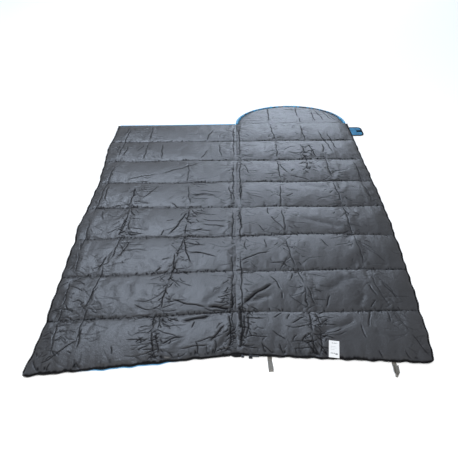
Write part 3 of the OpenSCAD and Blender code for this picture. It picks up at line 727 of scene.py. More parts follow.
# painted shade in the creases: nearly black colour, and a darkened reflection through the specular
# tint; they are rougher there too
fill(tree, shader, Base_Color=mixed(tree, crease_shade, tint, linear("#08080a")), Roughness=dulled,
     Specular_Tint=mixed(tree, crease_shade, (1, 1, 1, 1), linear("#3c3c40")),
     Specular_IOR_Level=0.55, Sheen_Weight=0.10, Sheen_Roughness=0.4)
# threads 0.35 mm apart can't show at this distance, so the weave is drawn far coarser
raised(tree, shader, woven(tree, 140.0, Distortion=0.6, Detail=1.0), 0.06, 0.0006)
raised(tree, shader, noisy(tree, 70.0, Detail=4.0, Roughness=0.62), 0.30, 0.004)

under_z = 4.6 * mm
quilt_tops = {}
for side, word in ((1, "right"), (-1, "left")):
    top, shade_paint = wrinkled(crowned(side), side)
    quilt_tops[side] = top
    pad = closed_pad(f"{word}_padded_lining", top, shade_paint, under_z, 4.0 * mm,
                     row_steps * finer, taffeta)
    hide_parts(f"{word}_lining", f"{word}_filling")
    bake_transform(pad)

# ---- Right and left shells --------------------------------------------------------
# The outside is a blue pongee, the same outline as the lining. It lies on the floor,
# drawn up along the stitched lines, and turns up to the zip round the edge.

shell_under, corner_r = 0.5 * mm, 13 * mm
# the shell is kept between these heights, and lies at the third where nothing draws it up
shell_low, shell_high, shell_rest = 0.0006, 0.0046, 0.0008

pongee, tree, shader = finish_named("blue polyester pongee")
tint = ramped(tree, noisy(tree, 5.0, Detail=3.0), 0.35, 0.66, "#22739f", "#2a82b0")
fill(tree, shader, Base_Color=tint, Roughness=0.46, Specular_IOR_Level=0.5)
raised(tree, shader, woven(tree, 140.0, Distortion=0.6, Detail=1.0), 0.1, 0.0006)
raised(tree, shader, noisy(tree, 60.0, Detail=4.0, Roughness=0.6), 0.3, 0.004)


def thickened(piece, thickness):
    """Gives a sheet its thickness, and leaves no modifier on it."""
    only_active(piece)
    wall = piece.modifiers.new("wall", "SOLIDIFY")
    wall.thickness, wall.offset = thickness, -1.0
    bpy.ops.object.modifier_apply(modifier=wall.name)


def rounded_corner(x, y, side):
    """Pulls the square foot corner of a grid in to the rounded one."""
    a = np.abs(x) - (half_w - corner_r)
    b = (foot_y(x) + corner_r) - y
    inside = (a > 0) & (b > 0)
    diagonal = np.hypot(np.maximum(a, 1e-9), np.maximum(b, 1e-9))
    shorter = np.where(inside, np.maximum(a, b) / diagonal, 1)
    x = np.where(inside, side * (half_w - corner_r + a * shorter), x)
    y = np.where(inside, foot_y(x) + corner_r - b * shorter, y)
    return x, y


def shell_sheet(side):
    """The shell of one half, lying on the floor and drawn up at the seams."""
    steps, count = 22, 84
    x, y, place = row_grid(side, steps, count)
    line_off = np.minimum(place, 1 - place)[:, None] * row_l * np.ones_like(x)
    foot_off = np.maximum(y - foot_y(x), 0)
    side_off = half_w - np.abs(x)
    z = shell_rest + 0.0036 * unit(1 - line_off / 0.020) ** 1.6
    turned_up = unit(1 - np.minimum(side_off, foot_off) / 0.040)
    z = np.maximum(z, shell_rest + 0.0026 * turned_up ** 1.3)
    comb = rough(x, np.round((head_y - y) / row_l) * 3.0, 0.014, 31)
    z += 0.0007 * comb * np.exp(-(line_off / 0.016) ** 2) * unit(side_off / 0.02)
    z += 0.0005 * (1 + rough(x, y, 0.03, 33)) * unit(np.minimum(side_off, foot_off) / 0.02)
    z = np.clip(z, shell_low, shell_high)
    x, y = rounded_corner(x, y, side)
    if side < 0:  # under the left foot edge the shell has slipped out a little past the zip
        y -= 0.0146 * unit(1 - foot_off / 0.06) * unit(np.minimum(x + 0.60, -0.16 - x) / 0.10)
    return lay(np.stack([x, y, z], -1))


for side, word in ((1, "right"), (-1, "left")):
    points = shell_sheet(side)
    shell = new_piece(f"{word}_outer_shell", points, sheet_faces(points), pongee)
    thickened(shell, shell_under)
    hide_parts(f"{word}_shell")
    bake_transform(shell)

# ---- Quilting thread --------------------------------------------------------------
# Lockstitch in dark polyester thread, one line between each two rows. Each stitch is a
# short arched strand that dips into the cloth at both ends.

stitch_pitch, thread_r = 4.2 * mm, 0.42 * mm
straight_up = np.array([0, 0, 1.0])
quarters = ((1, 0), (0, 1), (-1, 0), (0, -1))

black_thread, tree, shader = finish_named("dark spun polyester thread")
fill(tree, shader, Base_Color=linear("#17181c"), Roughness=0.6)
raised(tree, shader, banded(tree, 500.0, "DIAGONAL"), 0.4, 0.0003)


def run_along(line):
    """How far along a line each of its points is."""
    return np.concatenate([[0], np.cumsum(np.linalg.norm(np.diff(line, axis=0), axis=1))])


def walked(line, run, at):
    """The places on a line at some distances along it."""
    return np.stack([np.interp(at, run, line[:, k]) for k in range(line.shape[1])], 1)


def stitches(places, ways, ups, length, radius):
    """Short arched strands: four-sided, thin at both ends. Gives points and faces."""
    points, faces = [], []
    stations = ((-0.46, -0.6, 0.55), (-0.2, 0.55, 1.0), (0.2, 0.55, 1.0), (0.46, -0.6, 0.55))
    for place, way, up in zip(places, ways, ups):
        base = len(points)
        way = way / np.linalg.norm(way)
        aside = np.cross(up, way)
        for t, lift, fat in stations:
            middle = place + way * t * length + up * lift * radius
            for a, b in quarters:
                points.append(middle + (aside * a + up * b) * radius * fat)
        for s in range(3):
            for k in range(4):
                a, b = base + s * 4 + k, base + s * 4 + (k + 1) % 4
                faces.append([a, b, b + 4, a + 4])
        faces.append([base + k for k in (3, 2, 1, 0)])
        faces.append([base + 12 + k for k in (0, 1, 2, 3)])
    return points, faces


for side, word in ((1, "right"), (-1, "left")):
    top = quilt_tops[side]
    points, faces = [], []
    for row in range(1, rows):
        line = top[row * row_steps * finer]
        run = run_along(line[:, :2])
        at = np.arange(0.006, run[-1] - 0.006, stitch_pitch)
        on_top = walked(line, run, at) + [0, 0, 0.2 * mm]
        underneath = on_top.copy()
        underneath[:, 2] = 3.3 * mm
        ways = walked(line, run, at + mm) - walked(line, run, at - mm)
        for places, facing in ((on_top, straight_up), (underneath, -straight_up)):
            p, f = stitches(places, ways, [facing] * len(at), stitch_pitch * 0.92, thread_r)
            faces += [[k + len(points) for k in face] for face in f]
            points += p
    thread = new_piece(f"{word}_quilting_thread", points, faces, black_thread)
    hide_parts(f"{word}_quilt_stitching")
    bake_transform(thread)

# ---- Seam tapes under the fold and the hood seam -----------------------------------
# Narrow grosgrain ribbons, sewn flat over the raw edges on the outside of the bag.

grosgrain, tree, shader = finish_named("blue grosgrain seam tape")
fill(tree, shader, Base_Color=linear("#1b6089"), Roughness=0.62)
raised(tree, shader, banded(tree, 160.0, "DIAGONAL", Distortion=0.3), 0.5, 0.0005)


def facing_out(piece):
    """Turns all faces of a closed piece outwards."""
    only_active(piece)
    bpy.ops.object.mode_set(mode="EDIT")
    bpy.ops.mesh.select_all(action="SELECT")
    bpy.ops.mesh.normals_make_consistent(inside=False)
    bpy.ops.object.mode_set(mode="OBJECT")


def tube(name, rings, material):
    """A piece with closed ends, from rings of points that follow each other."""
    numbers = np.arange(rings.shape[0] * rings.shape[1]).reshape(rings.shape[:2])
    nxt = np.roll(numbers, -1, axis=1)
    faces = np.stack([numbers[:-1], nxt[:-1], nxt[1:], numbers[1:]], -1).reshape(-1, 4).tolist()
    faces += [numbers[0][::-1].tolist(), numbers[-1].tolist()]
    piece = new_piece(name, rings, faces, material)
    facing_out(piece)
    return piece


def swept(path, across_way, section, name, material):
    """Carries a closed section along a path. section is (sideways, up) pairs, counterclockwise
    as seen looking back along the path; it may be one for all, or one for each point."""
    if section.ndim == 2:
        section = np.broadcast_to(section, (len(path), *section.shape))
    rings = path[:, None] + across_way[:, None] * section[..., :1] + straight_up * section[..., 1:]
    return tube(name, rings, material)


def sideways_of(path):
    """The level direction to the left of a path, at each of its points."""
    way = np.gradient(path, axis=0)
    way[:, 2] = 0
    way /= np.linalg.norm(way, axis=1)[:, None]
    return np.stack([-way[:, 1], way[:, 0], np.zeros(len(way))], 1)


def flat_section(half_wide, low, high, columns):
    """A thin strip's section with softened edges."""
    bevel = 0.2 * mm
    xs = np.linspace(-half_wide + bevel, half_wide - bevel, columns)
    middle = (low + high) / 2
    return np.array([(x, low) for x in xs] + [(half_wide, middle)]
                    + [(x, high) for x in xs[::-1]] + [(-half_wide, middle)])


tape_half, tape_low, tape_top = 9 * mm, 0.05 * mm, 0.75 * mm
y_run = np.linspace(-0.890, 0.925, 364)
middle_line = lay(np.stack([0 * y_run, y_run, 0 * y_run], 1))
section = flat_section(tape_half, tape_low, tape_top, 9)
fold_tape = swept(middle_line, sideways_of(middle_line), section, "fold_seam_ribbon", grosgrain)
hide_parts("fold_seam_tape")
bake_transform(fold_tape)

x_run = np.linspace(0.020, 0.700, 170)
seam_line = lay(np.stack([x_run, 0 * x_run + 0.9502, 0 * x_run], 1))
section = flat_section(tape_half, tape_low, tape_top, 7)
hood_tape = swept(seam_line, sideways_of(seam_line), section, "hood_seam_ribbon", grosgrain)
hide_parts("hood_seam_tape")
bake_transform(hood_tape)

# ---- Hood -------------------------------------------------------------------------
# A half-oval pad over the whole head edge of the right half: the same lining, wadding
# and shell, with a gathered sleeve of sky blue round its rim that holds the drawcord.

hood_cx, hood_l, head_seam_y = 369 * mm, 280 * mm, 950.5 * mm
rim_w = 16 * mm
pad_inset, hood_high = rim_w - 1.5 * mm, 0.0245


def hood_grid(count_u, count_v, inset):
    """Points of the half oval, and how far each is from the rim and from the seam."""
    u = np.linspace(-1, 1, count_u + 1)[None, :]
    v = np.linspace(1, 0, count_v + 1)[:, None]
    ex = u * np.sqrt(1 - v * v / 2)
    ey = v * np.sqrt(1 - u * u / 2)
    x = hood_cx + (hood_cx - inset) * ex
    y = head_seam_y + (hood_l - inset) * ey
    return x, y, (1 - unit(np.hypot(ex, ey))) * hood_l, y - head_seam_y


hood_creases = [
    ((0.235, 0.955), (0.240, 1.215), 2.0, 3.2, 0), ((0.446, 0.958), (0.441, 1.03), 1.8, 3.2, 0),
    ((0.441, 1.03), (0.43, 1.19), 2.0, 3.2, 4), ((0.530, 1.14), (0.537, 0.96), 1.7, 3.2, 5),
    ((0.555, 1.16), (0.60, 0.97), 1.3, 3.2, 4), ((0.60, 1.13), (0.655, 0.98), 1.3, 3.2, 4),
    ((0.64, 1.08), (0.68, 0.97), 1.2, 3.0, 2), ((0.34, 1.17), (0.46, 1.15), 1.0, 5.0, -6),
    ((0.06, 0.99), (0.22, 0.975), 1.0, 4.5, 3), ((0.50, 1.10), (0.62, 1.06), 0.9, 4.0, 4),
]
x, y, rim_off, seam_off = hood_grid(200, 80, pad_inset)
from_rim = unit(rim_off / 0.045)
from_seam = unit(seam_off / 0.030)
puff = np.sqrt(unit(from_rim * (2 - from_rim) * from_seam * (2 - from_seam)))
z = stitch_z + (loft - 1.5 * mm - stitch_z) * puff
# filled up to the seam, like the first row on its other side
z += seam_fill * (1 - np.sqrt(from_seam * (2 - from_seam))) * np.sqrt(from_rim) * unit(x / 0.03)
z -= 2.0 * mm * unit(1 - rim_off / 0.010)
z += 0.0011 * rough(x, y, 0.09, 41) + 0.0006 * rough(x, y, 0.035, 42)
angle = np.arctan2(seam_off / hood_l, (x - hood_cx) / hood_cx)
z += 0.0012 * rough(angle * 0.5, angle * 0, 0.013, 43) * np.exp(-(rim_off / 0.022) ** 2)
z += 0.0008 * rough(x, x * 0 + 3, 0.011, 9) * np.exp(-(seam_off / 0.013) ** 2)
shade_paint = np.zeros(z.shape)
laid_hood = lay(np.stack([x, y, z], -1))
height = laid_hood[..., 2].copy()
rng = np.random.default_rng(73)
cloth = height, shade_paint, laid_hood[..., 0], laid_hood[..., 1]
for a, b, depth, width, bow in hood_creases:
    press(cloth, a, b, depth, width, bow * mm)
for _ in range(90):
    where = np.array([rng.uniform(0.05, 0.70), rng.uniform(0.96, 1.2)])
    turn, reach = rng.uniform(-1.4, 1.4), rng.uniform(0.012, 0.05)
    deep, width = rng.uniform(0.25, 0.9), rng.uniform(2.6, 4.5)
    press(cloth, where, where + toward(turn) * reach, deep, width)
keep = unit(rim_off / 0.008) * unit(seam_off / 0.006)
laid_hood[..., 2] = np.clip(laid_hood[..., 2] * (1 - keep) + height * keep, lining_low, hood_high)
# the creases' painted shade, and a faint painted shade along the hood seam
shade_paint = np.maximum(shade_paint * keep, 0.15 * np.exp(-(seam_off / 0.0032) ** 2))
hood_pad = closed_pad("hood_padded_lining", laid_hood, shade_paint, under_z, 4.2 * mm, 20, taffeta)
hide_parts("hood_lining", "hood_filling")
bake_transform(hood_pad)

x, y, rim_off, seam_off = hood_grid(96, 40, pad_inset)
z = shell_rest + 2.6 * mm * unit(1 - rim_off / 0.040) ** 1.3
z = np.maximum(z, shell_rest + 3.4 * mm * unit(1 - seam_off / 0.020) ** 1.6)
z += 0.0005 * (1 + rough(x, y, 0.03, 45)) * unit(rim_off / 0.02)
points = lay(np.stack([x, y, np.clip(z, shell_low, shell_high)], -1))
hood_outside = new_piece("hood_outer_shell", points, sheet_faces(points), pongee)
thickened(hood_outside, shell_under)
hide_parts("hood_shell")
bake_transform(hood_outside)

# Sky blue taffeta, gathered on the cord: small folds across the sleeve. Navy is painted
# shade between them, on the sleeve's inner side, and on the rim's right part.
sky_taffeta, tree, shader = finish_named("sky blue gathered taffeta with painted fold shade")
blue_with_painted_fold_shade = mixed(tree, marked(tree, "painted_shade"), linear("#2b8fbd"), linear("#061a2c"))
fill(tree, shader, Base_Color=blue_with_painted_fold_shade, Roughness=0.42)
raised(tree, shader, noisy(tree, 160.0, Detail=3.0), 0.35, 0.002)


def oval_line(inset, count, first=0.0, last=math.pi):
    """A line round the hood at a distance in from its outer edge, from right to left."""
    t = np.linspace(first, last, count)
    x, y = hood_cx + (hood_cx - inset) * np.cos(t), head_seam_y + (hood_l - inset) * np.sin(t)
    return np.stack([x, y], 1)


def gathered_tube(name, path_xy, half_wide, half_high, middle_z, pucker, seed, sides, material):
    """A sleeve gathered on a cord: its section swells and shrinks in small uneven folds."""
    path = lay(np.column_stack([path_xy, np.full(len(path_xy), middle_z)]))
    run = run_along(path)
    turn = np.linspace(0, 2 * np.pi, sides, endpoint=False)
    wave = rough(run, run * 0, 0.012, seed) + 0.5 * rough(run, run * 0, 0.005, seed + 1)
    swell = 1 + pucker * wave[:, None] * (1 + 0.5 * np.sin(turn * 2 + run[:, None] * 90))
    ends = np.clip(np.minimum(run, run[-1] - run) / 0.006, 0.35, 1)[:, None]
    across, upwards = np.cos(turn) * half_wide, np.sin(turn) * half_high
    section = np.stack([across * swell * ends, upwards * swell * ends], -1)
    section[..., 1] = np.clip(section[..., 1], 0.8 * mm - middle_z, half_high * 1.35)
    piece = swept(path, sideways_of(path), section, name, material)
    # painted shade: darker between the folds, on the inner side of the sleeve, and over the hood
    # rim's right part
    inner_side_shade = 0.55 * unit(np.cos(turn) * 1.6 + 0.2)[None, :]
    shaded = 0.6 * unit((path[:, 0] - 0.44) / 0.06) * unit((0.72 - path[:, 0]) / 0.05)
    painted_dark = unit((-wave * 1.9 + shaded)[:, None] + inner_side_shade)
    mark(piece, "painted_shade", painted_dark)
    return piece


rim = gathered_tube("hood_gathered_rim", oval_line(rim_w / 2, 760), 8.8 * mm, 6.2 * mm, 9.4 * mm,
                    0.34, 51, 18, sky_taffeta)
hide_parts("hood_rim_sleeve")
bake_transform(rim)

braid, tree, shader = finish_named("black braided cord")
fill(tree, shader, Base_Color=linear("#17181a"), Roughness=0.7)
raised(tree, shader, banded(tree, 220.0, "DIAGONAL"), 0.6, 0.0006)
cord_r, cord_z = 1.9 * mm, 6.5 * mm
line = oval_line(rim_w / 2, 260, math.radians(4), math.radians(176))
path = lay(np.column_stack([line, np.full(len(line), cord_z)]))
turn = np.linspace(0, 2 * np.pi, 10, endpoint=False)
section = np.stack([np.cos(turn), np.sin(turn)], 1) * cord_r
drawcord = swept(path, sideways_of(path), section, "hood_braided_cord", braid)
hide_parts("hood_drawcord")
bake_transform(drawcord)

# ---- Binding along the left half's head edge --------------------------------------
# A bias strip of the shell cloth folded round the edge, drawn into small puckers.

x_run = np.linspace(-0.7385, -0.0008, 520)
edge_middle = np.column_stack([x_run, np.full(len(x_run), head_y - 3.0 * mm)])
fuller = 3.9 * mm + 2.4 * mm * unit((x_run[:, None] + 0.45) / 0.40)
binding = gathered_tube("left_head_bias_binding", edge_middle, 5.2 * mm, fuller, 7.4 * mm,
                        0.16, 61, 14, sky_taffeta)
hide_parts("left_head_binding")
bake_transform(binding)

# ---- Zip --------------------------------------------------------------------------
# A nylon coil zip on woven black tape runs up both sides and along the foot. The tape is
# sewn between lining and shell; the coil is one strand wound along its outer edge.

zip_x0, tape_z, tape_t = 16 * mm, 6.1 * mm, 0.8 * mm
tape_in, tape_out, coil_out = 8 * mm, 10 * mm, 13 * mm
coil_pitch, strand_r = 2.0 * mm, 0.42 * mm
foot_turn = math.atan(foot_slope)


def edge_line(out, x_end, y_end, spacing):
    """A line that runs a distance out from the side and foot seams of the right half."""
    cx = half_w - corner_r
    cy = fold_foot_y + (corner_r - math.sin(foot_turn) * cx) / math.cos(foot_turn)
    corner_steps = 14
    turn = -np.arange(corner_steps + 1) / corner_steps * (math.pi / 2 + foot_turn)
    r = corner_r + out
    corner = np.stack([cx + r * np.cos(turn), cy + r * np.sin(turn)], 1)
    rough_line = np.concatenate([
        [[half_w + out, y_end]], corner,
        [[x_end, fold_foot_y - x_end * foot_slope - out / math.cos(foot_turn)]],
    ])
    run = run_along(rough_line)
    return walked(rough_line, run, np.linspace(0, run[-1], int(run[-1] / spacing) + 1))


zip_weave, tree, shader = finish_named("black woven polyester zip tape")
fill(tree, shader, Base_Color=linear("#070708"), Roughness=0.78, Specular_IOR_Level=0.15)
raised(tree, shader, banded(tree, 230.0, "DIAGONAL", Distortion=0.4), 0.5, 0.0004)

coil_nylon, tree, shader = finish_named("black moulded nylon coil")
fill(tree, shader, Base_Color=linear("#0d0d0f"), Roughness=0.38)
raised(tree, shader, noisy(tree, 900.0), 0.2, 0.0002)

for side, word in ((1, "right"), (-1, "left")):
    flip = np.array([side, 1])
    middle = edge_line((tape_out - tape_in) / 2, -0.6 * mm, 0.9495, 4 * mm) * flip
    # the two tapes end in a small bunch at the fold
    bunched = np.exp(-(middle[:, 0] / 0.017) ** 4) * (middle[:, 1] < 0)
    middle[:, 1] -= 0.009 * bunched
    path = lay(np.column_stack([middle, np.zeros(len(middle))]))
    half_wide = (tape_in + tape_out) / 2
    section = flat_section(half_wide, tape_z, tape_z + tape_t, 7)[None] * np.ones((len(path), 1, 1))
    upper_side = section[..., 1] > tape_z + tape_t / 2
    inside = unit(1 - np.abs(section[..., 0]) / 0.0089) ** 0.5
    section[..., 1] += np.where(upper_side, 1.6 * mm, -3.4 * mm) * bunched[:, None] * inside
    tape = swept(path, sideways_of(path), section, f"{word}_zip_woven_tape", zip_weave)
    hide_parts(f"{word}_zip_tape")
    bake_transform(tape)

    # the coil is one strand wound in flattened turns: 3 mm across, 2.6 mm high
    centre = edge_line((tape_out + coil_out) / 2, zip_x0 + 9 * mm, 0.9455, 0.5 * mm) * flip
    centre = lay(np.column_stack([centre, np.full(len(centre), tape_z + tape_t / 2)]))
    aside = sideways_of(centre)
    run = run_along(centre)
    per_turn = 6
    at = np.linspace(0, run[-1], int(run[-1] / coil_pitch * per_turn))
    phase = 2 * np.pi * at / coil_pitch
    mid, left_of = walked(centre, run, at), walked(aside, run, at)
    across = left_of * (np.cos(phase) * 1.08 * mm)[:, None]
    strand = mid + across + straight_up * (np.sin(phase) * 0.88 * mm)[:, None]
    way = np.gradient(strand, axis=0)
    way /= np.linalg.norm(way, axis=1)[:, None]
    outward = left_of * np.cos(phase)[:, None] + straight_up * np.sin(phase)[:, None]
    outward -= way * np.sum(outward * way, axis=1)[:, None]
    outward /= np.linalg.norm(outward, axis=1)[:, None]
    other = np.cross(way, outward)
    ring = [strand + strand_r * (outward * a + other * b) for a, b in quarters]
    coil = tube(f"{word}_zip_wound_coil", np.stack(ring, 1), coil_nylon)
    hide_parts(f"{word}_zip_coil")
    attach(coil, f"{word}_half")

# Die-cast zinc, painted dark and worn lighter in uneven patches, for slider, pull, box and pin
zinc, tree, shader = finish_named("gunmetal plated zinc")
wear = noisy(tree, 420.0, Detail=3.0)
plating = ramped(tree, wear, 0.42, 0.66, "#101113", "#3a3b3e")
fill(tree, shader, Base_Color=plating, Metallic=0.6, Roughness=0.34)
raised(tree, shader, wear, 0.12, 0.0003)


def refinish(node, material):
    """Gives a CAD part that is shown as it is a better finish."""
    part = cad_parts[node]
    part.data.materials.clear()
    part.data.materials.append(material)


for node in ("zip_slider", "zip_pull", "zip_retainer_box", "zip_insertion_pin",
             "right_zip_stop", "left_zip_stop"):
    refinish(node, zinc)

# ---- Closing tab ------------------------------------------------------------------
# Two layers of blue shell cloth with black piping sewn round them, on the right edge near
# the head. It is creased across where it stands up and where it turns over.

tab_y, tab_low, tab_high = 845 * mm, 2.3 * mm, 4.7 * mm
tab_half, piping = 59 * mm, 9.0 * mm
hinge_x, turn_x, tip_x, tip_r = 753 * mm, 785.9 * mm, 827.9 * mm, 28 * mm

tab_cloth, tree, shader = finish_named("sky blue pongee of the tab")
tint = ramped(tree, noisy(tree, 40.0, Detail=2.0), 0.35, 0.66, "#14567a", "#1f7199")
fill(tree, shader, Base_Color=tint, Roughness=0.6, Specular_IOR_Level=0.25)
raised(tree, shader, woven(tree, 260.0), 0.3, 0.0004)

black_webbing, tree, shader = finish_named("black woven piping")
fill(tree, shader, Base_Color=linear("#08080a"), Roughness=0.85, Specular_IOR_Level=0.12)
raised(tree, shader, banded(tree, 260.0, "DIAGONAL"), 0.5, 0.0004)


def tab_edge_y(x, inset):
    """Half width of the tab at a place along it, rounded at the tip."""
    end = tip_x - inset
    r = tip_r - inset
    into = np.clip(x - (end - r), 0, r)
    return tab_half - inset - r + np.sqrt(np.clip(r * r - into * into, 0, None))


def tab_panel(name, x_1, x_2, inset, columns):
    """A soft panel of two layers, full in the middle and thin where it is sewn."""
    x = np.linspace(x_1, x_2, columns + 1)[None, :]
    v = np.linspace(1, -1, 61)[:, None]
    half = tab_edge_y(x, inset)
    y = tab_y + v * half
    x = x * np.ones_like(v)
    edge_off = np.minimum((1 - np.abs(v)) * half, unit(tip_x - inset - x) + 0.0002)
    full = unit(edge_off / 0.006)
    line = np.exp(-((edge_off - 0.0045) / 0.0010) ** 2)
    thinner = 1 - np.sqrt(full * (2 - full))
    uneven = 0.25 * mm * rough(x, y, 0.012, 71) * full
    top = tab_high - 0.75 * mm * thinner + uneven - 0.35 * mm * line
    top = np.minimum(top, tab_high + 0.3 * mm)
    low = tab_low + 0.55 * mm * thinner
    nj, ni = y.shape
    upper = np.stack([x, y, top], -1).reshape(-1, 3)
    lower = np.stack([x, y, low * np.ones_like(y)], -1).reshape(-1, 3)
    numbers = np.arange(nj * ni).reshape(nj, ni)
    faces = grid_faces(numbers) + [face[::-1] for face in grid_faces(numbers + nj * ni)]
    around = round_grid(nj, ni)
    for a, b in zip(around, around[1:] + around[:1]):
        a, b = int(numbers[a]), int(numbers[b])
        faces.append([b, a, a + nj * ni, b + nj * ni])
    return new_piece(name, np.concatenate([upper, lower]), faces, tab_cloth)


def piping_along(name, line_xy):
    """Black tape folded over the tab's edge, a little rounder than the panel."""
    path = np.column_stack([line_xy, np.full(len(line_xy), (tab_low + tab_high) / 2)])
    turn = np.linspace(0, 2 * np.pi, 12, endpoint=False)
    wide, high = (np.sign(a) * np.abs(a) ** 0.7 for a in (np.cos(turn), np.sin(turn)))
    section = np.stack([wide * piping / 2 * 1.04, high * 1.35 * mm], 1)
    return swept(path, sideways_of(path), section, name, black_webbing)


def straight(x_1, x_2, y, count=12):
    """A line along the tab, at one place across it."""
    return np.column_stack([np.linspace(x_1, x_2, count), np.full(count, y)])


def joined(name, parts):
    """Makes one piece of several."""
    only_active(parts[0])
    for part in parts[1:]:
        part.select_set(True)
    bpy.ops.object.join()
    parts[0].name = parts[0].data.name = name
    return parts[0]


sewn_end = tab_panel("tab_sewn_end", half_w, hinge_x - 0.1 * mm, 0.4 * mm, 8)
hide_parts("tab_anchor")
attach(sewn_end, "right_half")

root_panel = tab_panel("tab_root_cloth", hinge_x, turn_x - 0.1 * mm, piping - 0.4 * mm, 16)
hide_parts("tab_root")
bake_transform(root_panel)

inset = piping / 2
root_piping = joined("tab_root_piping", [
    piping_along("piping", straight(hinge_x, turn_x - 0.1 * mm, tab_y + way * (tab_half - inset)))
    for way in (1, -1)
])
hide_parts("tab_root_binding")
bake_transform(root_piping)

tip_panel = tab_panel("tab_tip_cloth", turn_x, tip_x - piping + 0.4 * mm, piping - 0.4 * mm, 30)
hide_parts("tab_tip")
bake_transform(tip_panel)

r = tip_r - inset
bend = np.linspace(0, math.pi / 2, 14)
corner = np.stack([
    tip_x - inset - r + r * np.sin(bend), tab_half - inset - r + r * np.cos(bend),
], 1)
upper = np.concatenate([straight(turn_x, tip_x - inset - r, tab_half - inset, 8)[:-1], corner])
outline = np.concatenate([upper, upper[::-1] * [1, -1]])
outline[:, 1] += tab_y
tip_piping = piping_along("tab_tip_piping", outline[::-1])
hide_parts("tab_tip_binding")
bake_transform(tip_piping)

# Hook-and-loop: a woven black base with a dense nap of tiny nylon hooks
hook_nap, tree, shader = finish_named("black hook and loop nap")
fill(tree, shader, Base_Color=linear("#08080a"), Roughness=0.95, Specular_IOR_Level=0.1)
raised(tree, shader, pattern(tree, "ShaderNodeTexVoronoi", 700.0), 0.8, 0.0008)
for node in ("tab_hook_patch", "left_loop_patch"):
    refinish(node, hook_nap)

# ---- Hanging loops ----------------------------------------------------------------
# Two loops of light grey ribbon, doubled and sewn into the foot seam. Each opens into a
# drop shape; they hang the bag up to air, or tie it when it is rolled.

ribbon_w, ribbon_t = 16 * mm, 0.8 * mm
loop_h, loop_l, loop_out, loop_z = 10 * mm, 50 * mm, 24 * mm, 0.2 * mm
edge_low = 3 * mm
loop_places = ((139.66 * mm, -926.59 * mm), (595.66 * mm, -952.54 * mm))

grey_ribbon, tree, shader = finish_named("light grey polyester ribbon")
ribs = banded(tree, 220.0, "Y", Distortion=0.3)
fill(tree, shader, Base_Color=ramped(tree, ribs, 0.0, 1.0, "#45433f", "#74726c"), Roughness=0.55)
raised(tree, shader, ribs, 0.5, 0.0004)


def ribbon_piece(name, line, widths, place, lean=0.0):
    """A ribbon bent along a line. Points and width directions are (sideways, outwards, up)
    from the loop's hinge; lean turns the whole in plan, in radians."""
    turned_by = foot_turn - lean
    axes_there = np.array([[math.cos(turned_by), -math.sin(turned_by), 0],
                           [-math.sin(turned_by), -math.cos(turned_by), 0], straight_up])
    points, wide = line @ axes_there + [place[0], place[1], 0], widths @ axes_there
    way = np.gradient(points, axis=0)
    way /= np.linalg.norm(way, axis=1)[:, None]
    thick = np.cross(way, wide)
    thick /= np.linalg.norm(thick, axis=1)[:, None]
    edge, soft = ribbon_w / 2, 0.4 * mm
    across = [-edge, -edge + soft, -edge / 2, 0, edge / 2, edge - soft, edge]
    below = [(a, -0.5 if abs(a) < edge else -0.28) for a in across]
    cross = below + [(a, -b) for a, b in below[::-1]]
    rings = np.stack([points + wide * a + thick * b * ribbon_t for a, b in cross], 1)
    return tube(name, rings, grey_ribbon)


def opened_flat():
    """The inner loop lies on its flat side: out along the floor, round, and back above."""
    low, high = loop_z + ribbon_t / 2, loop_z + loop_h - ribbon_t / 2
    r = (high - low) / 2
    far = loop_l - r - ribbon_t / 2
    points = [(0, d, low) for d in np.linspace(-0.2 * mm, far, 20)]
    points += [(0, far + r * math.sin(a), low + r - r * math.cos(a))
               for a in np.linspace(0.15, math.pi, 20)]
    touching = ribbon_t * 1.05
    for t in np.linspace(1, 0, 21)[1:]:
        rise = low + touching + (2 * r - touching) * eased(t)
        points.append((0.5 * mm * math.sin(math.pi * t), far * t, rise))
    return np.array(points), np.tile([1.0, 0, 0], (len(points), 1))


def half_rolled():
    """The outer loop has rolled half over, so that its two strands show side by side."""
    half_open, stand = 4.6 * mm, loop_z + 6.4 * mm
    far = loop_l - half_open - ribbon_t / 2
    points, rolls = [], []
    for t in np.linspace(0, 1, 30):
        opened = eased(min(1, t / 0.22))
        last = max(0, (t - 0.8) / 0.2)
        rise = loop_z + 0.6 * mm + (stand - loop_z - 0.6 * mm) * opened
        points.append((half_open * opened, -0.2 * mm + far * t, rise))
        rolls.append(0.90 * opened + (math.pi / 2 - 0.90) * last * last)
    for a in np.linspace(0.22, math.pi - 0.22, 14):
        points.append((half_open * math.cos(a), far + half_open * math.sin(a), stand))
        rolls.append(math.pi / 2)
    out_way = enumerate(points[:30])
    points += [(-p[0], p[1], p[2] + 0.9 * mm * (1 - k / 29)) for k, p in out_way][::-1]
    rolls += [math.pi - r for r in rolls[:30]][::-1]
    return np.array(points), np.array([(math.cos(r), 0, math.sin(r)) for r in rolls])


# the loops lie where the laid foot edge has taken them, shifted along their own hinge line
laid_places = []
for place, further in zip(loop_places, (15 * mm, 0)):
    shift = float(laid_at(*place)[0] - place[0]) - further
    laid_places.append((place[0] + shift, place[1] - shift * foot_slope))
for word, place, (line, widths), lean in (("inner", laid_places[0], opened_flat(), 0.10),
                                          ("outer", laid_places[1], half_rolled(), -0.04)):
    loop = ribbon_piece(f"{word}_ribbon_loop", line, widths, place, lean)
    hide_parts(f"hang_loop_{word}")
    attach(loop, f"{word}_loop")

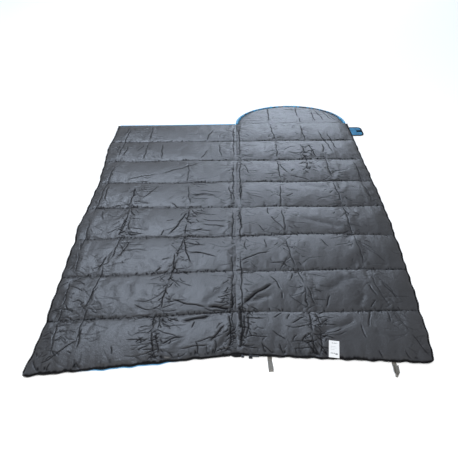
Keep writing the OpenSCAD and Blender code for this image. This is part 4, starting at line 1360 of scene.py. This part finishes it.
# from there each ribbon's two ends run on under the shell, and up into the seam
anchor_line = np.array([
    (0, -loop_out, edge_low + 0.9 * mm), (0, -loop_out + 2.5 * mm, 2.6 * mm),
    (0, -loop_out + 7 * mm, 1.2 * mm), (0, -loop_out + 11 * mm, 1.0 * mm),
    (0, -4 * mm, 1.0 * mm), (0, -0.1 * mm, 1.0 * mm),
])
run = run_along(anchor_line)
anchor_points = walked(anchor_line, run, np.linspace(0, run[-1], 24))
ends = []
for place in laid_places:
    for layer in (-0.42, 0.42):
        end_line = anchor_points + [0, 0, layer * mm]
        ends.append(ribbon_piece("end", end_line, np.tile([1.0, 0, 0], (24, 1)), place))
sewn_ends = joined("loop_sewn_ends", ends)
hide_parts("loop_anchors")
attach(sewn_ends, "right_half")

# ---- Care label -------------------------------------------------------------------
# White satin ribbon, sewn into the foot seam. Its print is only plain grey bars here,
# which stand for lines of small print.

label_w, label_l, label_turn = 37 * mm, 71 * mm, foot_turn + 0.10
foot_taper, label_set_out = 90 * mm, 7.5 * mm
slope = math.atan((loft - stitch_z) / foot_taper)

satin, tree, shader = finish_named("white satin label with grey bars")
printed = mixed(tree, marked(tree, "print"), linear("#c9cbcc"), linear("#232527"))
fill(tree, shader, Base_Color=printed, Roughness=0.4)
raised(tree, shader, banded(tree, 420.0, "X"), 0.15, 0.0003)

count_u, count_v = 76, 150
u = np.linspace(-1, 1, count_u + 1)[None, :] * np.ones((count_v + 1, 1))
v = np.linspace(1, 0, count_v + 1)[:, None] * np.ones((1, count_u + 1))
place = np.array([half_w / 2, float(foot_y(half_w / 2)), stitch_z + 0.3 * mm])
place[0] += float(lay(place[None])[0, 0] - place[0])
along = v * label_l * math.cos(slope) - label_set_out
sideways = u * label_w / 2
curl = 0.0008 * v ** 2 * u ** 2 + 0.0006 * np.sin(v * 5.0) * v
x = place[0] + sideways * math.cos(label_turn) + along * math.sin(label_turn)
y = place[1] - sideways * math.sin(label_turn) + along * math.cos(label_turn)
# it lies on the highest parts of the lining near its middle line
under_label = quilt_tops[1][(rows - 1) * row_steps * finer:]
sampled = []
for a, b in zip(x[::6, count_u // 2], y[::6, count_u // 2]):
    near = np.hypot(under_label[..., 0] - a, under_label[..., 1] - b) < 0.014
    sampled.append(under_label[near][:, 2].max())
softened = np.convolve(np.pad(sampled[::-1], 2, mode="edge"), [0.1, 0.2, 0.4, 0.2, 0.1], "valid")
lining_there = np.interp(v[:, 0], v[::6, 0][::-1], softened)
z = np.maximum(lining_there[:, None] + 0.9 * mm, place[2]) + curl
points = np.stack([x, y, z], -1)
label = new_piece("printed_care_label", points, sheet_faces(points), satin)
# middle, half height, left end, right end and fineness of each bar, in shares of the label
bars = np.zeros(u.shape)
for centre, thick, left, right, dots in (
    (0.85, 0.022, -0.55, 0.62, 20), (0.64, 0.010, -0.7, 0.3, 60), (0.55, 0.010, -0.7, 0.5, 60),
    (0.46, 0.010, -0.7, 0.1, 60), (0.24, 0.022, -0.7, 0.2, 22), (0.21, 0.032, 0.25, 0.66, 0),
):
    inside = (np.abs(v - centre) < thick) & (u > left) & (u < right)
    bars = np.maximum(bars, inside & (np.sin(u * dots + 1) > -0.35))
mark(label, "print", bars)
thickened(label, 0.35 * mm)
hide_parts("care_label")
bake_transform(label)
